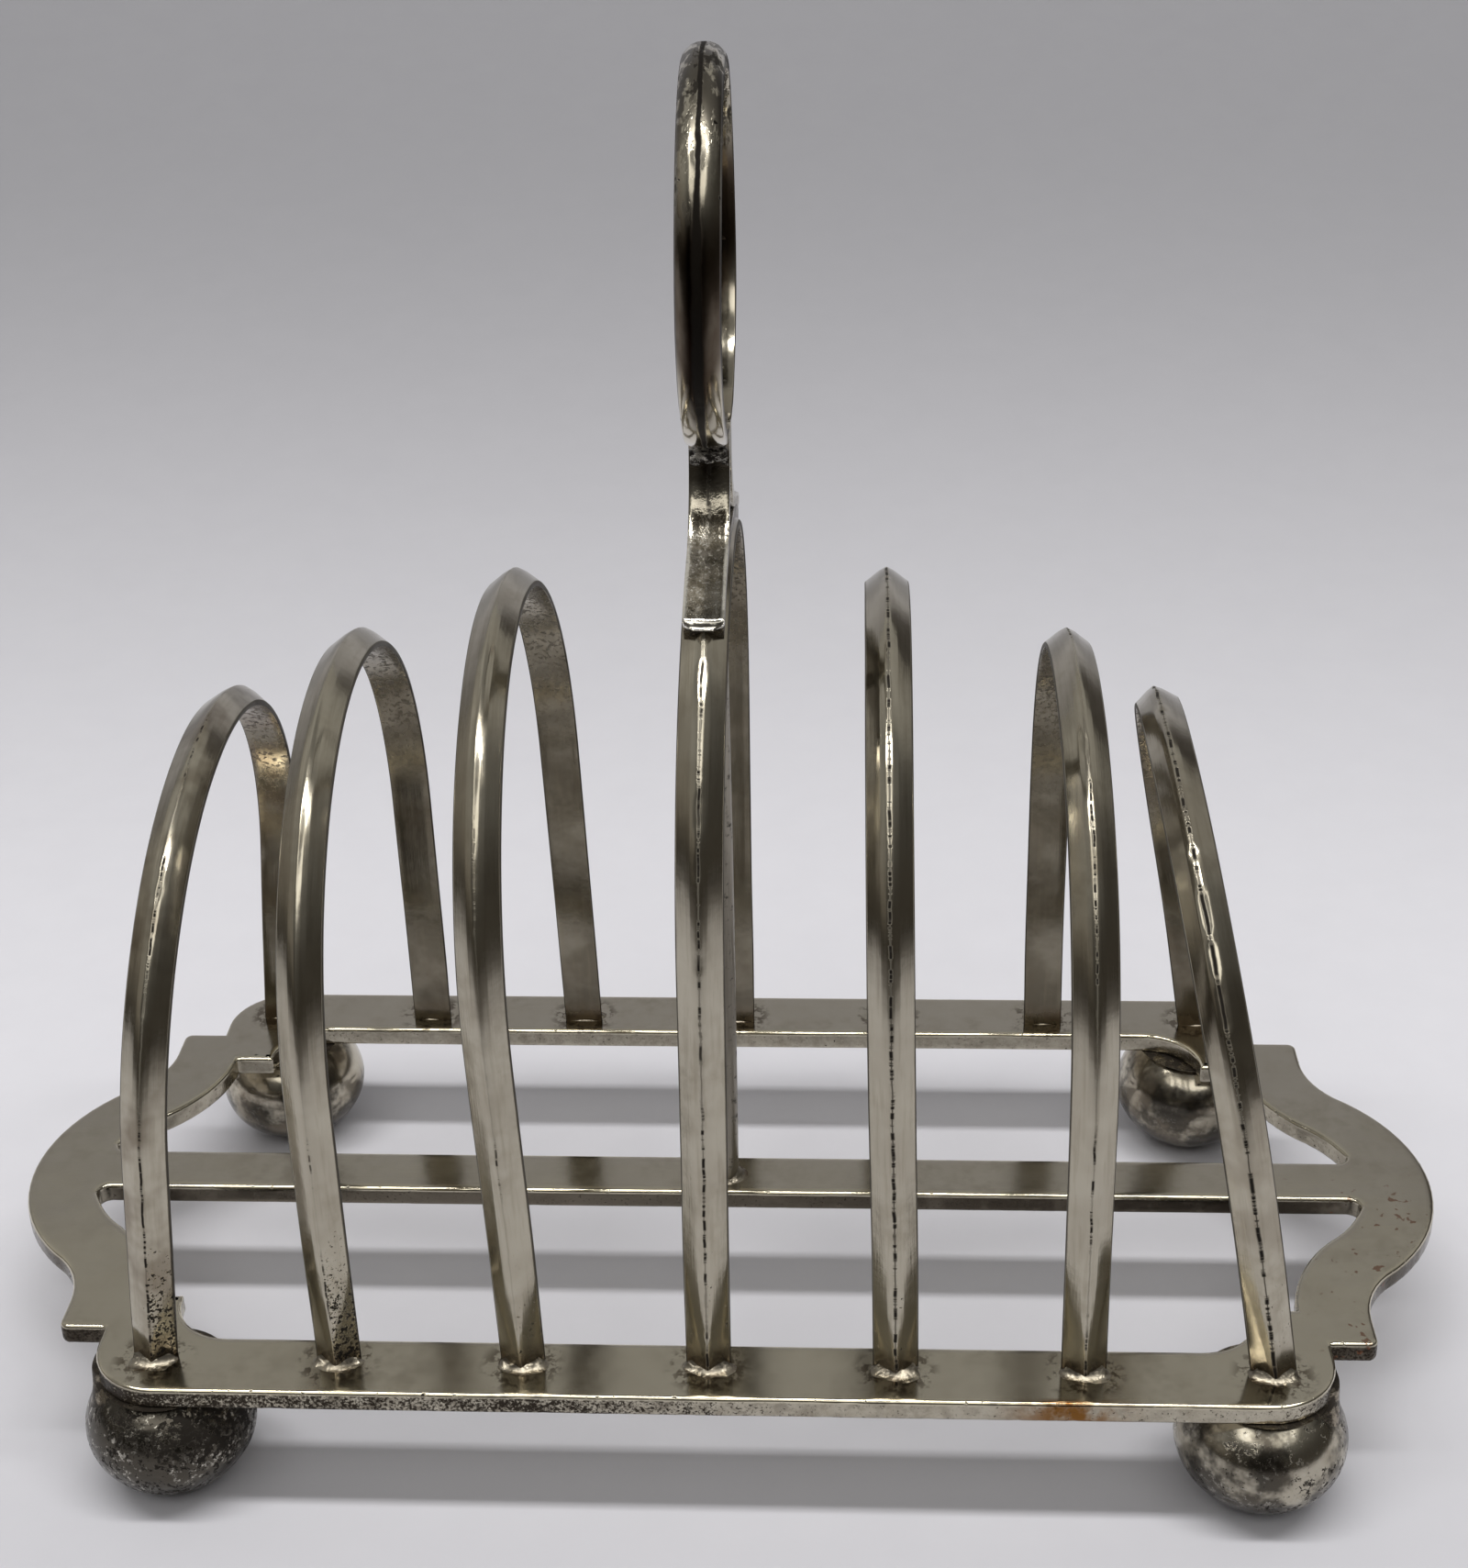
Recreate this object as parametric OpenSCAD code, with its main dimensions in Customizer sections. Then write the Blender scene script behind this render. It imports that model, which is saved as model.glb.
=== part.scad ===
// Seven-bar toast rack: a pierced base plate on four ball feet carries seven ridged
// bars, a loop handle on the centre bar and a post under it. Everything is soldered.
// Millimetres, +Z up. The origin is on the table, under the middle of the rack.
// X runs along the rack and across the bars, Y runs from the front rail to the back rail.

/* [Rack] */
// Distance from one bar to the next
pitch = 22; // [20:0.5:24]
// Height of the centre bar's crown above the base plate
centre_bar_h = 90.5; // [80:0.5:100]
// Drop in height from each bar to its outer neighbour
height_step = 8; // [4:0.5:9]

/* [Bars] */
// Width of a bar, along the rack
bar_w = 5.3; // [4.5:0.1:6]
// Depth of a bar from its flat inner face to its ridge
bar_depth = 2.4; // [1.8:0.1:2.6]
// Thickness left at a bar's two long edges
bar_edge = 0.6; // [0.3:0.1:1]
// Inner radius of every bar's crown, half the width of the toast space
crown_r = 36.9; // [36.5:0.1:37.4]
// Lean of the first bar (at -X) towards the middle, in degrees
first_lean = 4.6; // [0:0.1:8]
// Lean of the last bar (at +X) towards the middle, in degrees
last_lean = 10.8; // [0:0.1:12]
// Diameter of the tenon under each bar's foot
tenon_d = 2; // [1.6:0.1:2.2]

/* [Base plate] */
// Thickness of the base plate
plate_t = 2.7; // [2:0.1:3.2]
// Width of the shaped bands at the two ends
rail_w = 9; // [8.5:0.1:10]
// Width of the two side rails
side_rail_w = 9.7; // [9:0.1:9.7]
// Distance from the middle of the plate to a side rail's outer edge
rail_y = 43.8; // [43.5:0.1:45]
// Half the length of the plate's square ears
ear_x = 79.2; // [78:0.2:80]
// Half the overall length of the plate
end_x = 91.6; // [90:0.2:93]

/* [Feet] */
// Greatest diameter of a squashed-ball foot
foot_d = 20.4; // [18:0.2:22]
// Height of the full squashed ball before its top is cut to seat the plate
foot_full_h = 17.2; // [16:0.2:18]
// Height from the table to the underside of the plate
foot_h = 15.4; // [14:0.2:15.8]
// Diameter of the worn flat that each foot rests on
foot_flat_d = 5; // [3:0.5:6]
// Distance from the middle of the rack to a foot, along the rack
foot_x = 65.3; // [62:0.1:66]
// Distance from the middle of the rack to a foot, across the rack
foot_y = 36.8; // [34:0.1:38]
// Diameter of the peg that holds a foot to the plate
stud_d = 3; // [2:0.5:5]

/* [Handle] */
// Outer radius of the handle's ring
ring_r = 21.7; // [18:0.1:24]
// Height of the handle's top above the base plate
handle_top = 144.6; // [140:0.1:150]
// Width of the handle's bar, along the rack
handle_w = 4.8; // [4:0.1:5.3]
// Depth of the handle's bar from its flat face to its ridge
handle_depth = 2.2; // [1.8:0.1:2.6]
// Width of the handle's neck and feet, a little less than the ring's
neck_w = 4.6; // [3.8:0.1:4.6]
// Angle over which each foot of the handle follows the crown, from the top
lip_angle = 29.5; // [24:0.5:36]
// Diameter of the post under the centre bar
post_d = 4; // [3:0.1:5]

/* [Hidden] */

$fn = 96;
bar_count = 7;
centre_bar = 4;
// Lean of every bar along the rack, in degrees: positive leans towards +X
bar_lean = [first_lean, -0.4, -1.9, 0.3, -1.0, -0.9, -last_lean];
// Height of the plate's top face above the table
deck_z = foot_h + plate_t;
// Clearance between a tenon, post or peg and its hole, and between soldered faces
fit_gap = 0.1;
// A cut reaches this far past the face that it opens
over = 1;
// Length of a large cutting block
big = 400;

// Base plate: a shaped end is a convex arc that runs into a concave cove at the ear
bulge_r = 25;
cove_r = 12;
bulge_x = end_x - bulge_r;
cove_x = ear_x + cove_r;
// The convex and the concave arc overlap by this much where they meet
arc_lap = 0.05;
cove_y = sqrt(pow(bulge_r + cove_r - arc_lap, 2) - pow(cove_x - bulge_x, 2));
// Y of an ear's straight edge, and of the same step on the inner outline
ear_y = 32.5;
step_y = 26.2;
// Rounding of an ear's outer corner
ear_r = 1.2;
// Outer corner of the plate beside the ear
corner_x = 73.5;
corner_r = 8.5;
// Width of the centre rail. It stays at 7: at 7.6 and more the plate's STEP mesh didn't close
centre_rail_w = 7;
// Inner corner of an opening, before it narrows at its step
inner_corner_x = 65.3;
inner_corner_r = 7.4;
// Rounding at the narrow end of an opening
slot_end_r = 1.5;
rail_in_y = rail_y - side_rail_w;

// Distance from the middle of the rack to the tenons of a bar
tenon_y = crown_r + bar_depth / 2;

// Feet: the pegs stand in blind holes in the plate and in the balls
stud_depth = 1.6;
stud_in_foot = 8;
foot_squash = foot_full_h / foot_d;
// Depth by which the ball is cut to make the flat that it rests on
foot_sink = foot_full_h / 2 * (1 - sqrt(1 - pow(foot_flat_d / foot_d, 2)));
// Radius of the ball where the plate's underside cuts it
foot_top_r = foot_d / 2 * sqrt(1 - pow(2 * (foot_h + foot_sink) / foot_full_h - 1, 2));

// Centre bar's outer radius, and the height of its crown's centre above the plate
crown_out_r = crown_r + bar_depth;
centre_leg_h = centre_bar_h / cos(bar_lean[centre_bar - 1]) - crown_out_r;

// Handle: ring centre above the plate, neck, and the concave sweep into each foot
ring_z = handle_top - ring_r;
ring_in_r = ring_r - handle_depth;
// Half the gap between the ring's two ends at the neck
neck_half = 0.8;
neck_y = neck_half + handle_depth;
// Angle from the crown's top at which the sweep meets the crown
sweep_end = 15;
// Thickness of a handle foot, which is thinner than the ring's bar
lip_depth = 1.5;
seat_r = crown_out_r + fit_gap;
sweep_r = ((seat_r + lip_depth) * sin(sweep_end) - neck_y) / (1 - sin(sweep_end));
sweep_y = neck_y + sweep_r;
sweep_z = centre_leg_h + (seat_r + lip_depth + sweep_r) * cos(sweep_end);
// Angle turned by the sweep, and the step between the points of a foot's outline
sweep_turn = 90 - sweep_end;
foot_step = 1.5;
// The neck's top stops inside the ring's bar
neck_top = ring_z - ring_in_r - 0.1;
// Radius on the two corners of each handle foot
lip_corner_r = 1.2;

// Solder: low hollow-sided cones around the feet of the bars and the post, with the
// waist of a cone's side at these fractions of its base radius and height
pool_waist_r = 0.8;
pool_waist_h = 0.3;
pool_top_r = 0.68;
bar_pool_r = 3.9;
bar_pool_h = 0.9;
post_pool_r = 3.3;
post_pool_h = 1;
// Solder under the plate, in the crevice around each ball
foot_pool_r = 7.6;
foot_pool_w = 0.9;
foot_pool_drop = 0.75;
// The seam under the handle's feet stops this many degrees short of their tips
seam_back = 1;
// Clearance between the seam and the underside of the handle's feet
seam_gap = 0.02;

// X of bar number i, counted from 1 at the -X end
function bar_x(i) = (i - centre_bar) * pitch;

// Height of the ridge of bar number i above the plate
function bar_h(i) = centre_bar_h - height_step * abs(i - centre_bar);

// Length of a leg of bar number i up to its crown, along the leaning bar
function leg_h(i) = bar_h(i) / cos(bar_lean[i - 1]) - crown_out_r;

// Places children in the plane of a bar: local x is world Y and local y is world Z
module in_bar_plane() {
    rotate([90, 0, 90]) children();
}

// Copies children into the four corners of the plate
module four_corners() {
    for (sx = [-1, 1])
        for (sy = [-1, 1])
            in_quadrant(sx, sy) children();
}

// Mirrors children into the quadrant with the given signs of X and Y
module in_quadrant(sx, sy) {
    mirror([sx < 0 ? 1 : 0, 0, 0])
        mirror([0, sy < 0 ? 1 : 0, 0]) children();
}

// Ridged section: flat face on y = 0, ridge at y = depth, thin edges at x = +-w / 2
module ridged_section(w, depth, edge) {
    polygon([[-w / 2, 0], [w / 2, 0], [w / 2, edge], [0, depth], [-w / 2, edge]]);
}

// Arc of ridged bar in the local xy plane, from angle a0 to a1, ridge outward from r
module ridged_arc(r, a0, a1, w, depth, edge) {
    rotate([0, 0, a0])
        rotate_extrude(angle = a1 - a0)
            translate([r, 0])
                rotate([0, 0, -90])
                    ridged_section(w, depth, edge);
}

// Convex tip of a shaped end, in the quadrant x > 0, y > 0, set in from the plate's outline
module end_tip(inset) {
    intersection() {
        translate([bulge_x, 0])
            circle(bulge_r - inset);
        square([end_x + over, bulge_r]);
    }
}

// Concave flank of a shaped end, from its tip out to the cove beside the ear
module end_cove(inset) {
    difference() {
        polygon([[0, 0], [0, cove_y], [cove_x, cove_y], [bulge_x, 0]]);
        translate([cove_x, cove_y])
            circle(cove_r + inset);
    }
}

// Gives a flat shape the plate's thickness
module slab() {
    linear_extrude(height = plate_t) children();
}

// One quarter of the solid plate, for x > 0 and y > 0, with an overlap on its neighbours
module plate_quarter() {
    slab() strip(corner_x - corner_r, -over, rail_y);
    slab() strip(corner_x, -over, rail_y - corner_r);
    translate([corner_x - corner_r, rail_y - corner_r])
        cylinder(r = corner_r, h = plate_t);
    slab() strip(ear_x - ear_r, -over, ear_y);
    slab() strip(ear_x, cove_y, ear_y - ear_r);
    translate([ear_x - ear_r, ear_y - ear_r])
        cylinder(r = ear_r, h = plate_t);
    slab() end_tip(0);
    slab() end_cove(0);
}

// Flat strip from just left of the middle to x, between two heights y0 and y1
module strip(x, y0, y1) {
    translate([-over, y0])
        square([x + over, y1 - y0]);
}

// One quarter of the opening between a side rail and the centre rail
module opening_quarter() {
    low = centre_rail_w / 2;
    end_cy = low + slot_end_r;
    end_cx = bulge_x + sqrt(pow(bulge_r - rail_w - slot_end_r, 2) - pow(end_cy, 2));
    strip(inner_corner_x - inner_corner_r, low, rail_in_y);
    strip(inner_corner_x, low, rail_in_y - inner_corner_r);
    translate([inner_corner_x - inner_corner_r, rail_in_y - inner_corner_r])
        circle(inner_corner_r);
    translate([end_cx, end_cy])
        circle(slot_end_r);
    difference() {
        intersection() {
            union() {
                end_tip(rail_w);
                end_cove(rail_w);
            }
            translate([0, low])
                square([end_x, step_y - low]);
        }
        polygon([[end_cx, low - over], [end_cx, end_cy],
            [bulge_x + 2 * (end_cx - bulge_x), 2 * end_cy], [end_x, low - over]]);
    }
}

// Cuts the tenon holes of the bars and the post, and the blind holes of the foot pegs
module plate_holes() {
    for (i = [1 : bar_count])
        for (s = [-1, 1])
            translate([bar_x(i), s * tenon_y, foot_h - over])
                cylinder(d = tenon_d + fit_gap, h = plate_t + 2 * over);
    translate([0, 0, foot_h - over])
        cylinder(d = tenon_d + fit_gap, h = plate_t + 2 * over);
    four_corners()
        translate([foot_x, foot_y, foot_h - over])
            cylinder(d = stud_d + fit_gap, h = stud_depth + over);
}

module base_plate() {
    color("silver")
        difference() {
            translate([0, 0, foot_h])
                four_corners() plate_quarter();
            translate([0, 0, foot_h - over])
                linear_extrude(height = plate_t + 2 * over)
                    four_corners() opening_quarter();
            plate_holes();
        }
}

// The two straight legs of a bar up to height h, starting just below z = 0
module bar_legs(h) {
    for (s = [0, 1])
        mirror([0, s, 0])
            translate([0, crown_r, -over])
                linear_extrude(height = h + over)
                    ridged_section(bar_w, bar_depth, bar_edge);
}

// Bar number i: the loop leans about its feet, is cut flush with the plate and has tenons
module bar(i) {
    color("silver")
        translate([bar_x(i), 0, deck_z]) {
            intersection() {
                rotate([0, bar_lean[i - 1], 0]) {
                    bar_legs(leg_h(i));
                    translate([0, 0, leg_h(i)])
                        in_bar_plane()
                            ridged_arc(crown_r, 0, 180, bar_w, bar_depth, bar_edge);
                }
                translate([-big / 2, -big / 2, 0])
                    cube(big);
            }
            for (s = [-1, 1])
                translate([0, s * tenon_y, -plate_t])
                    cylinder(d = tenon_d, h = plate_t);
        }
}

// Puts children in the frame of the centre bar's plane, on the plate and with its lean
module on_centre_bar() {
    translate([0, 0, deck_z])
        rotate([0, bar_lean[centre_bar - 1], 0])
            in_bar_plane() children();
}

// Point of the sweep at an angle, t deep in the bar: it thins from the ring to the lip
function sweep_point(angle, t) = [sweep_y - (sweep_r + t) * cos(angle),
    sweep_z - (sweep_r + t) * sin(angle)];

// Point at radius r over the crown, at an angle from its top
function crown_point(angle, r) = [r * sin(angle), centre_leg_h + r * cos(angle)];

// Outline of one foot of the handle: outer side from the neck to the tip, then back
function foot_outline() = concat(
    [[neck_y, neck_top]],
    [for (a = [0 : foot_step : sweep_turn]) sweep_point(a, 0)],
    [for (a = [sweep_end + foot_step : foot_step : lip_angle - foot_step / 2])
        crown_point(a, seat_r + lip_depth)],
    [crown_point(lip_angle, seat_r + lip_depth), crown_point(lip_angle, seat_r)],
    [for (a = [sweep_end + foot_step : foot_step : lip_angle - foot_step / 2])
        crown_point(lip_angle + sweep_end - a, seat_r)],
    [for (a = [0 : foot_step : sweep_turn])
        sweep_point(sweep_turn - a, foot_t(sweep_turn - a))],
    [[neck_half, neck_top]]);

// Thickness of a foot of the handle at an angle of the sweep
function foot_t(angle) = handle_depth + (lip_depth - handle_depth) * angle / sweep_turn;

// One foot of the handle: the neck under the ring, a concave sweep, a lip on the crown
module handle_foot() {
    difference() {
        translate([0, 0, -neck_w / 2])
            linear_extrude(height = neck_w)
                polygon(foot_outline());
        translate([0, centre_leg_h])
            for (s = [-1, 1])
                rotate([0, 0, 90 - lip_angle])
                    rotate([0, 90, 0])
                        translate([s * (neck_w / 2 - lip_corner_r), 0, 0])
                            corner_cut(s);
    }
}

// Removes the square corner outside a small radius at the tip of a handle foot
module corner_cut(s) {
    difference() {
        translate([s > 0 ? 0 : -lip_corner_r - over, -over, 0])
            cube([lip_corner_r + over, lip_corner_r + over, big / 2]);
        translate([0, lip_corner_r, 0])
            cylinder(r = lip_corner_r, h = big / 2);
    }
}

module handle() {
    // The ring's bar starts and ends this many degrees from straight down
    gap = asin((neck_half + handle_depth / 2) / ring_r);
    color("silver")
        on_centre_bar() {
            translate([0, ring_z])
                ridged_arc(ring_in_r, gap - 90, 270 - gap, handle_w, handle_depth, bar_edge);
            for (s = [0, 1])
                mirror([s, 0, 0])
                    handle_foot();
        }
}

// Block over the inner face of the centre bar's crown, which trims the post
module above_crown() {
    difference() {
        translate([-post_d, centre_leg_h, -post_d])
            cube([2 * post_d, big, 2 * post_d]);
        translate([0, centre_leg_h, -big / 2])
            cylinder(r = crown_r - fit_gap / 2, h = big);
    }
}

module centre_post() {
    color("gray") {
        difference() {
            translate([0, 0, deck_z])
                cylinder(d = post_d, h = centre_bar_h);
            on_centre_bar()
                above_crown();
        }
        translate([0, 0, foot_h])
            cylinder(d = tenon_d, h = plate_t + over);
    }
}

// Squashed-ball foot in the quadrant with the signs sx and sy
module foot(sx, sy) {
    color("dimgray")
        translate([sx * foot_x, sy * foot_y, 0])
            difference() {
                intersection() {
                    translate([0, 0, foot_full_h / 2 - foot_sink])
                        scale([1, 1, foot_squash])
                            sphere(d = foot_d);
                    cylinder(d = foot_d + over, h = foot_h);
                }
                translate([0, 0, foot_h - stud_in_foot])
                    cylinder(d = stud_d + fit_gap, h = stud_in_foot + over);
            }
}

module foot_studs() {
    color("gray")
        four_corners()
            translate([foot_x, foot_y, foot_h - stud_in_foot + fit_gap])
                cylinder(d = stud_d, h = stud_in_foot + stud_depth - 2 * fit_gap);
}

// Cone of solder of base radius r and height h, standing on z = 0
module solder_cone(r, h) {
    rotate_extrude()
        polygon([[0, 0], [r, 0], [pool_waist_r * r, pool_waist_h * h],
            [pool_top_r * r, h], [0, h]]);
}

module bar_solder() {
    color("lightgray")
        for (i = [1 : bar_count])
            translate([bar_x(i), 0, deck_z])
                difference() {
                    for (s = [-1, 1])
                        translate([0, s * tenon_y, 0])
                            solder_cone(bar_pool_r, bar_pool_h);
                    rotate([0, bar_lean[i - 1], 0])
                        bar_legs(bar_pool_h + over);
                }
}

module post_solder() {
    color("lightgray")
        translate([0, 0, deck_z])
            difference() {
                solder_cone(post_pool_r, post_pool_h);
                translate([0, 0, -over])
                    cylinder(d = post_d, h = post_pool_h + 2 * over);
            }
}

// Solder between the centre bar's two facets and the underside of the handle's feet
module handle_solder() {
    half = neck_w / 2 - fit_gap;
    top = seat_r - seam_gap;
    slope = (bar_depth - bar_edge) / (bar_w / 2);
    color("lightgray")
        on_centre_bar()
            translate([0, centre_leg_h])
                rotate([0, 0, 90 - lip_angle + seam_back])
                    rotate_extrude(angle = 2 * (lip_angle - seam_back))
                        for (s = [-1, 1])
                            polygon([[crown_out_r, 0], [top, 0], [top, s * half],
                                [crown_out_r - slope * half, s * half]]);
}

// Ring of solder in the crevice between each ball and the plate
module foot_solder() {
    color("lightgray")
        four_corners()
            translate([foot_x, foot_y, foot_h])
                rotate_extrude()
                    polygon([[foot_top_r, 0], [foot_pool_r, 0],
                        [foot_top_r + foot_pool_w, -foot_pool_drop]]);
}

base_plate();
bar(1);  // bar_1
bar(2);  // bar_2
bar(3);  // bar_3
bar(4);  // bar_4
bar(5);  // bar_5
bar(6);  // bar_6
bar(7);  // bar_7
handle();
centre_post();
foot(-1, -1);  // foot_front_left
foot(1, -1);  // foot_front_right
foot(-1, 1);  // foot_back_left
foot(1, 1);  // foot_back_right
foot_studs();
bar_solder();
post_solder();
handle_solder();
foot_solder();
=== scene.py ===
"""Looks of the toast rack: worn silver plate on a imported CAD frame.
Lengths are in mm. Only a shader's own x, y and z are in metres."""

import math

import bmesh
import bpy
import numpy as np
from mathutils import Matrix, Vector
from mathutils.geometry import tessellate_polygon

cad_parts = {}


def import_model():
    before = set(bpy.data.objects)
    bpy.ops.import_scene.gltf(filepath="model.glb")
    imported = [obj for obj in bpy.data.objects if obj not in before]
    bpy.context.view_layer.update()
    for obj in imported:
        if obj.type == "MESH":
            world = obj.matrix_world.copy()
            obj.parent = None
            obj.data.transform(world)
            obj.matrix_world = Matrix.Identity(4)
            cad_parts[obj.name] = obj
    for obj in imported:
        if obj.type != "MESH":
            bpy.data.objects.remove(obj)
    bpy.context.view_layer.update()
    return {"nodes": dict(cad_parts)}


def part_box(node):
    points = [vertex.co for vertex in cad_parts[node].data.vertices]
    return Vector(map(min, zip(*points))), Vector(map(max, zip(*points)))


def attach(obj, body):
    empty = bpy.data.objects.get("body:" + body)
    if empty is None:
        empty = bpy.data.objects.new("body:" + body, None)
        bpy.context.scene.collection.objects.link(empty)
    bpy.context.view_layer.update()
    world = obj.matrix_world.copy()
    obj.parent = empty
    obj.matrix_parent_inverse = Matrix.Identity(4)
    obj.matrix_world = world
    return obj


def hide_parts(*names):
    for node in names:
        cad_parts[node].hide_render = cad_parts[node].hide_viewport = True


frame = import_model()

MM = 0.001
STEP = 0.5            # distance between the rows of a swept mesh
GASH_DEPTH = 0.14     # depth of the broken groove worn along a ridge
BAR_W, BAR_DEPTH, BAR_EDGE = 5.3, 2.4, 0.6
RING_W, RING_DEPTH = 4.8, 2.2
NECK_W, LIP_DEPTH, LIP_CORNER = 4.6, 1.5, 1.2
HEAT_STAIN_Y = 38.2   # from the rack's centre line to the stains round the bars' feet
TEA_STAIN_X = 42.0    # place of the brown stain on the front edge
BAR_SINK = 0.9        # the bars' meshes start this far below the plate's top
BALL_HEIGHT = 17.2    # full height of a ball before its underside is worn flat
BALL_SINK = 0.26      # how far that ball would reach below the table

# Wear of each bar. spear: length filed to a point at the front and the back foot. pits: pitting of the
# left and the right facet. brown: brown bloom. ridge: strength of the black line along the ridge.
BARS = {
    "bar_1": {"spear": (7, 9), "pits": (0.35, 1.0), "brown": 0.55, "ridge": 0.6},
    "bar_2": {"spear": (13, 9), "pits": (0.1, 1.0), "brown": 0.12, "ridge": 0.1},
    "bar_3": {"spear": (12, 10), "pits": (0.3, 0.55), "brown": 0.12, "ridge": 0.2},
    "bar_4": {"spear": (15, 11), "pits": (0.15, 0.5), "brown": 0.12, "ridge": 0.9},
    "bar_5": {"spear": (9, 10), "pits": (0.3, 0.35), "brown": 0.12, "ridge": 1.5},
    "bar_6": {"spear": (15, 12), "pits": (0.1, 0.15), "brown": 0.12, "ridge": 0.6},
    "bar_7": {"spear": (16, 10), "pits": (0.25, 0.5), "brown": 0.3, "ridge": 1.9},
}
# Wear of each ball: share of pits, dark veil, tan clouds and bright flecks
FEET = {
    "foot_front_left": {"pits": 0.74, "gloom": 0.36, "tan": 0.05, "fleck": 0.8},
    "foot_front_right": {"pits": 0.58, "gloom": 0.14, "tan": 0.12, "fleck": 0.35},
    "foot_back_left": {"pits": 0.36, "gloom": 0.14, "tan": 0.5, "fleck": 0.15},
    "foot_back_right": {"pits": 0.36, "gloom": 0.14, "tan": 0.5, "fleck": 0.15},
}


# -------- numbers from the frame

def box_mm(node):
    """Low and high corner of a node's box."""
    low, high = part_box(node)
    return np.array(low) / MM, np.array(high) / MM


def points_mm(node):
    """All points of a node's CAD mesh."""
    mesh = frame["nodes"][node].data
    co = np.zeros(len(mesh.vertices) * 3)
    mesh.vertices.foreach_get("co", co)
    return co.reshape(-1, 3) / MM


DECK = box_mm("base_plate")[1][2]   # height of the plate's top


def smooth(x, low, high):
    """Soft step from 0 at low to 1 at high."""
    t = np.clip((np.asarray(x, float) - low) / (high - low), 0, 1)
    return t * t * (3 - 2 * t)


def lattice(i, j, k, seed):
    """Fixed random values from -1 to 1, one for each whole-number point."""
    n = (i * 73856093) ^ (j * 19349663) ^ (k * 83492791) ^ (seed * 7919)
    n = ((n ^ (n >> 13)) * 1274126177) & 0x7FFFFFFF
    n = (n ^ (n >> 16)) * 668265263 & 0x7FFFFFFF
    return n / 0x7FFFFFFF * 2 - 1


def noise3(points, size, seed):
    """Smooth noise from -1 to 1 at each point, with features of about this size in mm."""
    q = np.asarray(points, float) / size + 1000.0
    i = np.floor(q).astype(np.int64)
    f = q - i
    f = f * f * (3 - 2 * f)
    total = 0
    for corner in np.ndindex(2, 2, 2):
        weight = np.abs(1 - np.array(corner) - f).prod(1)
        total = total + weight * lattice(*(i + corner).T, seed)
    return total


def noise1(x, size, seed):
    """noise3 along one line."""
    x = np.asarray(x, float).ravel()
    return noise3(np.stack([x, np.full_like(x, 0.37), np.full_like(x, 7.7)], 1), size, seed)


# -------- meshes

def turns(count):
    """Evenly spread angles round a circle."""
    return np.arange(count) / count * 2 * math.pi


def link(name, data):
    """Puts a mesh, light or camera into the scene."""
    obj = bpy.data.objects.new(name, data)
    bpy.context.scene.collection.objects.link(obj)
    return obj


def smooth_mesh(name, verts, faces, material):
    """Object with a smooth mesh, from points in mm."""
    mesh = bpy.data.meshes.new(name)
    mesh.from_pydata((np.asarray(verts, float) * MM).tolist(), [], faces)
    mesh.polygons.foreach_set("use_smooth", [True] * len(mesh.polygons))
    mesh.materials.append(material)
    return link(name, mesh)


def add_piece(name, verts, faces, material, attrs, node=None):
    """Makes a piece that rides on the root body. It replaces the solid of the node, where one is given.
    attrs are numbers for the material, one for each point."""
    obj = smooth_mesh(name, verts, faces, material)
    mesh = obj.data
    for key, values in attrs.items():
        data = mesh.attributes.new(key, "FLOAT", "POINT").data
        data.foreach_set("value", np.asarray(values, np.float32).ravel())
    work = bmesh.new()
    work.from_mesh(mesh)
    bmesh.ops.recalc_face_normals(work, faces=work.faces)
    work.to_mesh(mesh)
    work.free()
    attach(obj, "root")
    if node:
        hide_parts(node)


def grid_faces(rows, cols, wrap_cols=True, first=0):
    """Quads between neighbouring rows of points. The first point has the number given as first."""
    faces = []
    for r in range(rows - 1):
        for c in range(cols if wrap_cols else cols - 1):
            a, b = first + r * cols + c, first + r * cols + (c + 1) % cols
            faces.append((a, b, b + cols, a + cols))
    return faces


def tube_faces(rows, cols, first=0):
    """Faces of a closed tube: the grid round it and a cap on each end."""
    last = first + (rows - 1) * cols
    caps = [tuple(range(first, first + cols)), tuple(range(last, last + cols))]
    return grid_faces(rows, cols, first=first) + caps


def arch_path(radius, leg, start):
    """Points (y, z) and outward directions up the front leg, over the crown and down the back leg."""
    up = np.linspace(start, leg, max(3, int((leg - start) / STEP) + 1))[:-1]
    turn = np.linspace(0, math.pi, int(math.pi * radius / STEP) + 1)
    angle = np.concatenate([np.zeros(len(up)), turn, np.full(len(up), math.pi)])
    rise = np.concatenate([up, np.full(len(turn), leg), up[::-1]])
    out = np.stack([-np.cos(angle), np.sin(angle)], 1)
    return radius * out + np.outer(rise, [0, 1]), out


def arc_length(path):
    """Distance along a path at each of its points."""
    return np.concatenate([[0], np.cumsum(np.linalg.norm(np.diff(path, axis=0), axis=1))])


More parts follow.
